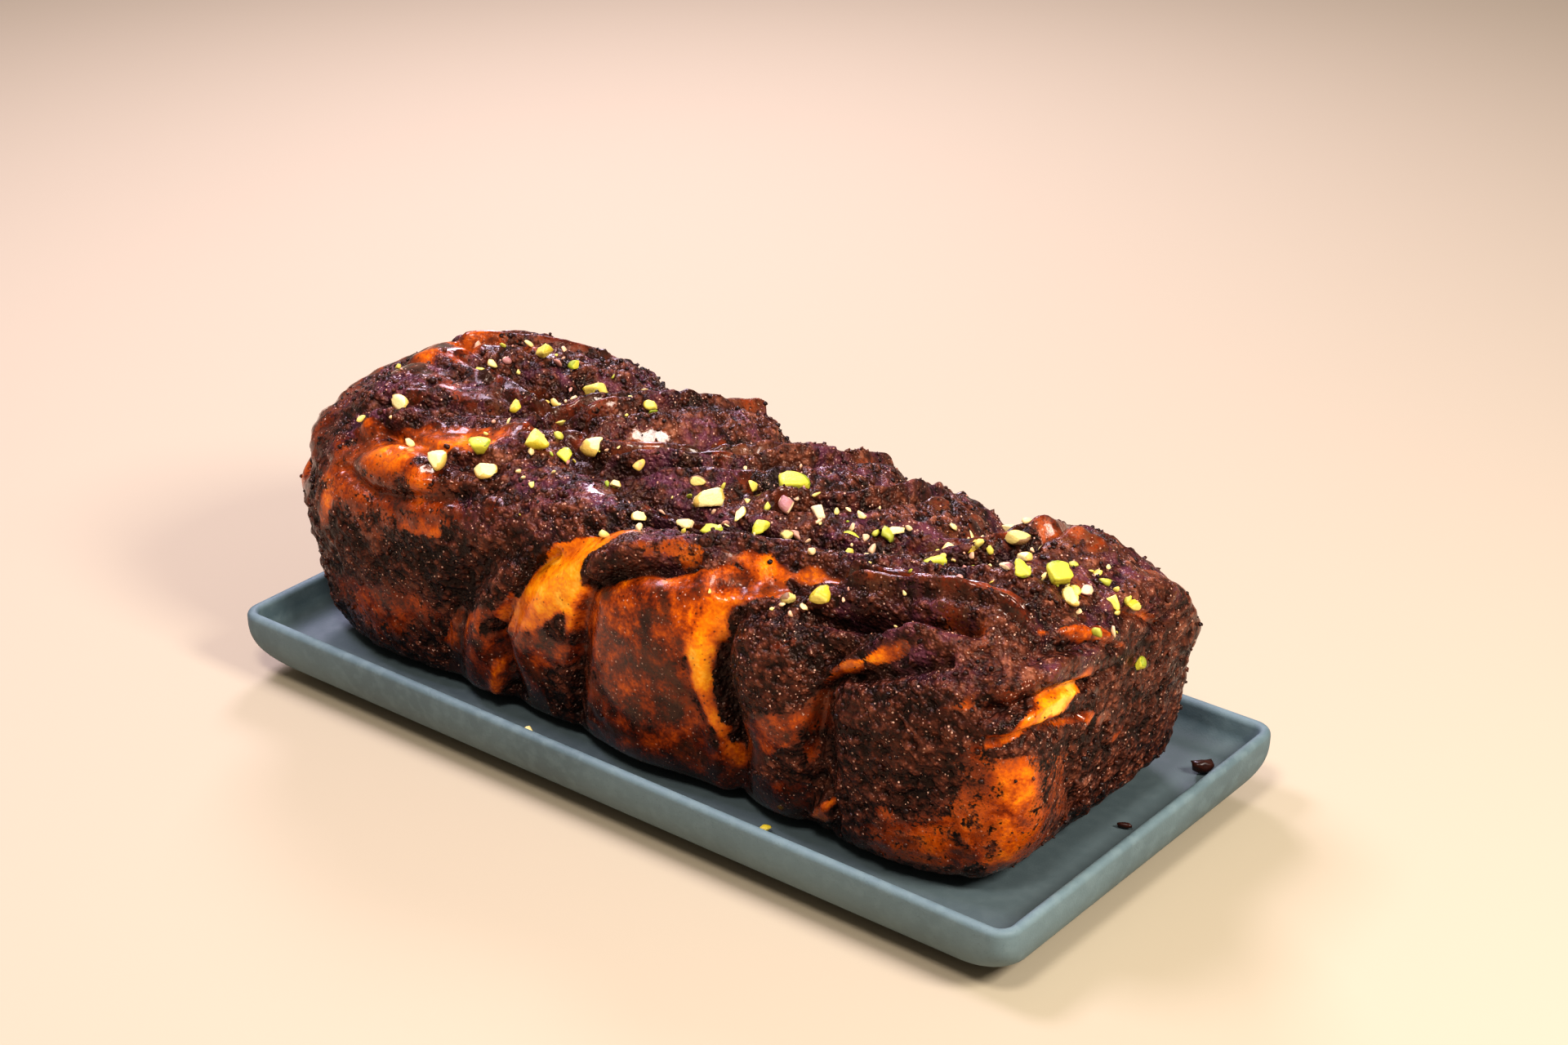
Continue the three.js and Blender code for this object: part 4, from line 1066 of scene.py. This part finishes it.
# %% Kernel surface
def ball_grid(level=3):
    """Directions and faces of a ball of even triangles."""
    maker = bmesh.new()
    bmesh.ops.create_icosphere(maker, subdivisions=level, radius=1.0)
    directions = np.array([v.co[:] for v in maker.verts])
    faces = np.array([[v.index for v in f.verts] for f in maker.faces])
    maker.free()
    return directions / np.linalg.norm(directions, axis=1, keepdims=True), faces


BALL, BALL_FACES = ball_grid()
KERNEL_CUTS = 7
EDGE_SHARPNESS = 34


def soft_least(values, sharpness):
    """Smooth minimum: -log(sum(exp(-k v))) / k over the last axis."""
    return -np.log(np.exp(-sharpness * values).sum(-1)) / sharpness


def kernel(half_sizes, generator, cuts=KERNEL_CUTS, directions=BALL):
    """Radius = soft minimum of 1 and plane distance / (normal . direction), then stretched to
    the half sizes. Gives the points about the origin and how much of each is cut face."""
    normals = generator.normal(size=(cuts, 3))
    normals /= np.linalg.norm(normals, axis=1, keepdims=True)
    distances = generator.uniform(0.3, 0.72, cuts)
    toward = np.maximum(directions @ normals.T, 1e-3)
    planes = distances / toward
    radius = soft_least(np.column_stack([np.ones(len(directions)), planes]), EDGE_SHARPNESS)
    cut = ease(0.98, 0.92, radius)
    radius = radius + 0.03 * lumps(directions * 10 + generator.uniform(0, 99), 4.5, 61) * cut
    points = directions * radius[:, None]
    low, high = points.min(0), points.max(0)
    return (points - (low + high) / 2) / ((high - low) / 2) * half_sizes, cut


def chunk_frame(node):
    """Centre, axes and half sizes of a chunk of the frame, from the spread of its points."""
    mesh = frame["nodes"][node].data
    points = np.zeros(3 * len(mesh.vertices))
    mesh.vertices.foreach_get("co", points)
    points = points.reshape(-1, 3) / MM
    middle = (points.min(0) + points.max(0)) / 2
    axes = np.linalg.svd(points - points.mean(0), full_matrices=False)[2]
    reach = (points - middle) @ axes.T
    return middle, axes, (reach.max(0) - reach.min(0)) / 2


KERNEL_COLOURS = {
    "kernel_yellow": (srgb(196, 172, 44), srgb(236, 210, 100)),
    "kernel_green": (srgb(142, 152, 30), srgb(208, 200, 66)),
    "kernel_cream": (srgb(214, 176, 88), srgb(240, 216, 148)),
    "skin_mauve": (srgb(164, 108, 104), srgb(234, 202, 160)),
    "skin_brown": (srgb(124, 88, 54), srgb(208, 184, 108)),
}


def kernel_material(name, outside, inside):
    """Outside colour on the rounded part, cut colour on the flats, skin in torn patches."""
    r = Recipe(name)
    cut = r.layer("cut")
    patch, fine = r.noise(2.4, 3), r.noise(0.5, 2)
    edge = r.between(cut + (patch - 0.5) * 0.7, 0.3, 0.6)
    colour = r.mix(edge, outside, inside)
    colour = r.mix(r.between(patch, 0.56, 0.7) * (1 - edge) * 0.5, colour, srgb(150, 96, 84))
    colour = r.mix(r.between(fine, 0.5, 0.8) * 0.25, colour, srgb(170, 150, 50))
    r.set(Base_Color=colour, Roughness=r.between(fine, 0.3, 0.7, 0.4, 0.6))
    r.set(Normal=r.bump(fine * 0.6 + patch * 0.4, 0.25))
    return r.material


kernel_materials = {name: kernel_material(name, outside, inside)
                    for name, (outside, inside) in KERNEL_COLOURS.items()}
slots = {row["node"]: row["material_slot"] for row in frame["record"]["subparts"]}
print(len(kernel_materials), "kernel finishes")

# %% Lay the chopped pieces
def lay_kernel(node, seed):
    """A kernel in the place of one chunk, with the chunk's axes and sizes, and its finish."""
    generator = np.random.default_rng(seed)
    middle, axes, half_sizes = chunk_frame(node)
    points, cut = kernel(half_sizes, generator)
    piece = make_piece(node + "_kernel", points @ axes + middle, BALL_FACES.tolist())
    paint(piece, cut=cut)
    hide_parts(node)
    piece.data.materials.append(kernel_materials[slots[node]])
    return middle


nut_nodes = sorted(n for n in slots if slots[n] in KERNEL_COLOURS)
nut_places = np.array([lay_kernel(node, 100 + i) for i, node in enumerate(nut_nodes)])
print(len(nut_nodes), "chopped pieces laid")

# %% [markdown]
# ## Bits and crumbs
# Chopping leaves far more small bits than big pieces. They lie near the big ones. The filling
# sheds crumbs too, which stick in the glaze. Each kind is one joined piece made of many small
# solids. A bit has 80 faces and a crumb only 20, since nobody sees more at their size.

# %% Scatter small solids
def scatter(name, centres, sizes, generator, grid, cuts, spread=(0.6, 1.25)):
    """One piece made of a cut solid at each centre, turned at random, each of its half sizes
    a random share, from the spread, of the given one."""
    directions, faces = grid
    every, joined, cut_layer = [], [], []
    for i, (centre, size) in enumerate(zip(centres, sizes)):
        half = size * generator.uniform(*spread, 3)
        points, cut = kernel(half, generator, cuts, directions)
        turn, _ = np.linalg.qr(generator.normal(size=(3, 3)))
        turn *= np.sign(np.linalg.det(turn))
        every.append(points @ turn + centre)
        cut_layer.append(cut)
        joined.append(faces + i * len(directions))
    piece = make_piece(name, np.vstack(every), np.vstack(joined).tolist())
    paint(piece, cut=np.concatenate(cut_layer))
    return piece


def nearest_skin(targets):
    """Number of the skin point nearest to each target."""
    return np.array([np.argmin(((skin - target) ** 2).sum(1)) for target in targets])


BIT_COUNT = 190
ON_TOP = 80.0
BIT_GRID = ball_grid(2)
skin_normals = point_normals(skin, skin_quads)
owners = nut_places[rng.integers(0, len(nut_places), BIT_COUNT)]
owners = owners[owners[:, 2] > ON_TOP]
near = nearest_skin(owners + rng.normal(0, 9, owners.shape) * [1.2, 1, 0.1])
bit_sizes = rng.uniform(0.6, 1.3, len(near)) ** 1.6
bits = scatter("pistachio_bits", skin[near] + skin_normals[near] * bit_sizes[:, None] * 0.6,
               bit_sizes, rng, BIT_GRID, KERNEL_CUTS, (0.3, 1.6))
tones = np.repeat(rng.uniform(0, 1, len(near)), len(BIT_GRID[0]))
paint(bits, tone=tones)

# %% Filling crumbs
# They cling to filling, more of them the higher it lies. Only the small ones are ever pale, and that pale
# tone is a painted glint of highlight.
CRUMB_COUNT = 3000
CRUMB_GRID = ball_grid(1)
CRUMB_CUTS = 3
LARGE_CRUMB = 0.45
crumb_share = (1 - dough) * ease(FOOT + 2, FOOT + 12, skin[:, 2]) + 0.012
crumb_share *= 0.6 + 0.8 * ease(60, 90, skin[:, 2])
chosen = rng.choice(len(skin), CRUMB_COUNT, replace=False, p=crumb_share / crumb_share.sum())
crumb_sizes = rng.uniform(0.3, 1.0, len(chosen)) ** 1.6 * 1.05
crumbs = scatter("filling_crumbs", skin[chosen] + skin_normals[chosen] * 0.1, crumb_sizes, rng,
                 CRUMB_GRID, CRUMB_CUTS)
# Painted highlights: small crumbs may take the palest tone, which stands for a glint.
tones = rng.uniform(0, 1, len(chosen)) * np.where(crumb_sizes > LARGE_CRUMB, 0.85, 1)
tones = np.repeat(tones, len(CRUMB_GRID[0]))
paint(crumbs, tone=tones)

# %% Finishes of bits and crumbs
def bits_material():
    """Each bit has one tone, which picks green, yellow, cream, tan or the mauve of the skin."""
    r = Recipe("pistachio_bits")
    colour = r.ramp(r.layer("tone"), [
        (0.0, srgb(142, 156, 40)), (0.25, srgb(212, 190, 84)), (0.5, srgb(240, 214, 142)),
        (0.75, srgb(226, 190, 142)), (1.0, srgb(184, 124, 112))])
    r.set(Base_Color=colour, Roughness=0.5)
    return r.material


def crumbs_material():
    """Dark, glossy grains, some browner than others, and the palest a painted glint of highlight."""
    r = Recipe("filling_crumbs")
    colour = r.ramp(r.layer("tone"), [
        (0.0, srgb(28, 14, 12)), (0.6, srgb(60, 28, 18)), (0.9, srgb(98, 54, 38)),
        (1.0, srgb(206, 152, 124))])
    r.set(Base_Color=colour, Roughness=r.noise(0.6) * 0.3 + 0.15, Specular_IOR_Level=0.25)
    return r.material


bits.data.materials.append(bits_material())
crumbs.data.materials.append(crumbs_material())

# %% Fallen crumbs of cake
TORN_CUTS = 4
TRAY_CLEARANCE = 0.05


def lay_fallen_crumb(node, seed):
    """A torn, lumpy bit of cake in the place of one crumb of the frame."""
    middle, axes, half_sizes = chunk_frame(node)
    generator = np.random.default_rng(seed)
    points, _ = kernel(half_sizes, generator, TORN_CUTS)
    points = points * (1 + 0.25 * lumps(points + seed * 7.0, 1.6, 71)[:, None])
    points = points @ axes + middle
    points[:, 2] = np.maximum(points[:, 2], TRAY_FLOOR + TRAY_CLEARANCE)
    piece = make_piece(node + "_cake", points, BALL_FACES.tolist())
    paint(piece, tone=0.35 + 0.3 * lumps(points, 1.2, 72))
    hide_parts(node)
    piece.data.materials.append(crumbs.data.materials[0])


for i, node in enumerate(sorted(n for n in slots if slots[n] == "cake_crumb")):
    lay_fallen_crumb(node, 300 + i)

# %% [markdown]
# ## Camera, floor and light
# Food is lit from the side and from behind, so that its gloss and its crumbs show. A plain pale
# floor takes four soft lamps: a strong warm one on the right, a second high in front, and two
# weaker violet ones, high on the left and low behind it, which colour the edges of the glaze.

# %% Camera
VIEW_AZIMUTH = 38.423
VIEW_HEIGHT = 26.142
CAMERA_PLACE = (0.50799, -0.61835, 0.46588)
FOCAL_LENGTH = 67.5
SENSOR_WIDTH = 36
camera_data = bpy.data.cameras.new("camera")
camera_data.lens = FOCAL_LENGTH
camera_data.sensor_width = SENSOR_WIDTH
camera_data.clip_start = 0.01
camera = bpy.data.objects.new("camera", camera_data)
camera.location = CAMERA_PLACE
camera.rotation_euler = (math.radians(90 - VIEW_HEIGHT), 0, math.radians(VIEW_AZIMUTH))
bpy.context.scene.collection.objects.link(camera)
bpy.context.scene.camera = camera

# %% Floor
FLOOR_HALF = 4.0


def floor_material():
    """Matt, warm and plain."""
    r = Recipe("floor")
    r.set(Base_Color=srgb(178, 164, 142), Roughness=0.9, Specular_IOR_Level=0.1)
    return r.material


floor_mesh = bpy.data.meshes.new("floor")
floor_corners = [(x * FLOOR_HALF, y * FLOOR_HALF, 0) for x, y in [(-1, -1), (1, -1), (1, 1), (-1, 1)]]
floor_mesh.from_pydata(floor_corners, [], [(0, 1, 2, 3)])
floor = bpy.data.objects.new("floor", floor_mesh)
floor_mesh.materials.append(floor_material())
bpy.context.scene.collection.objects.link(floor)

# %% Light
LAMP_TARGET = (0, 0, 0.05)


def area_light(name, place, size, power, colour):
    """A square soft lamp aimed at the loaf."""
    data = bpy.data.lights.new(name, "AREA")
    data.size = size
    data.energy = power
    data.color = colour
    lamp = bpy.data.objects.new(name, data)
    lamp.location = place
    toward = np.array(LAMP_TARGET) - np.array(place)
    tilt = math.atan2(math.hypot(toward[0], toward[1]), -toward[2])
    lamp.rotation_euler = (tilt, 0, math.atan2(toward[1], toward[0]) - math.pi / 2)
    bpy.context.scene.collection.objects.link(lamp)


area_light("key", (0.85, -0.05, 0.75), 0.28, 12.0, (1.0, 0.96, 0.9))
area_light("rim", (-0.5, 0.55, 0.6), 0.24, 5.2, (0.86, 0.78, 1.0))
area_light("overhead", (0.28, -0.58, 1.05), 0.24, 7.6, (1.0, 0.95, 0.9))
area_light("cool_top", (-0.46, -0.14, 0.94), 0.3, 7.0, (0.82, 0.74, 1.0))
world = bpy.data.worlds.new("studio")
world.use_nodes = True
backdrop = world.node_tree.nodes["Background"].inputs
backdrop["Color"].default_value = (1.0, 0.92, 0.82, 1)
backdrop["Strength"].default_value = 0.3
bpy.context.scene.world = world
bpy.context.scene.view_settings.view_transform = "Standard"
bpy.context.scene.view_settings.look = "Medium High Contrast"
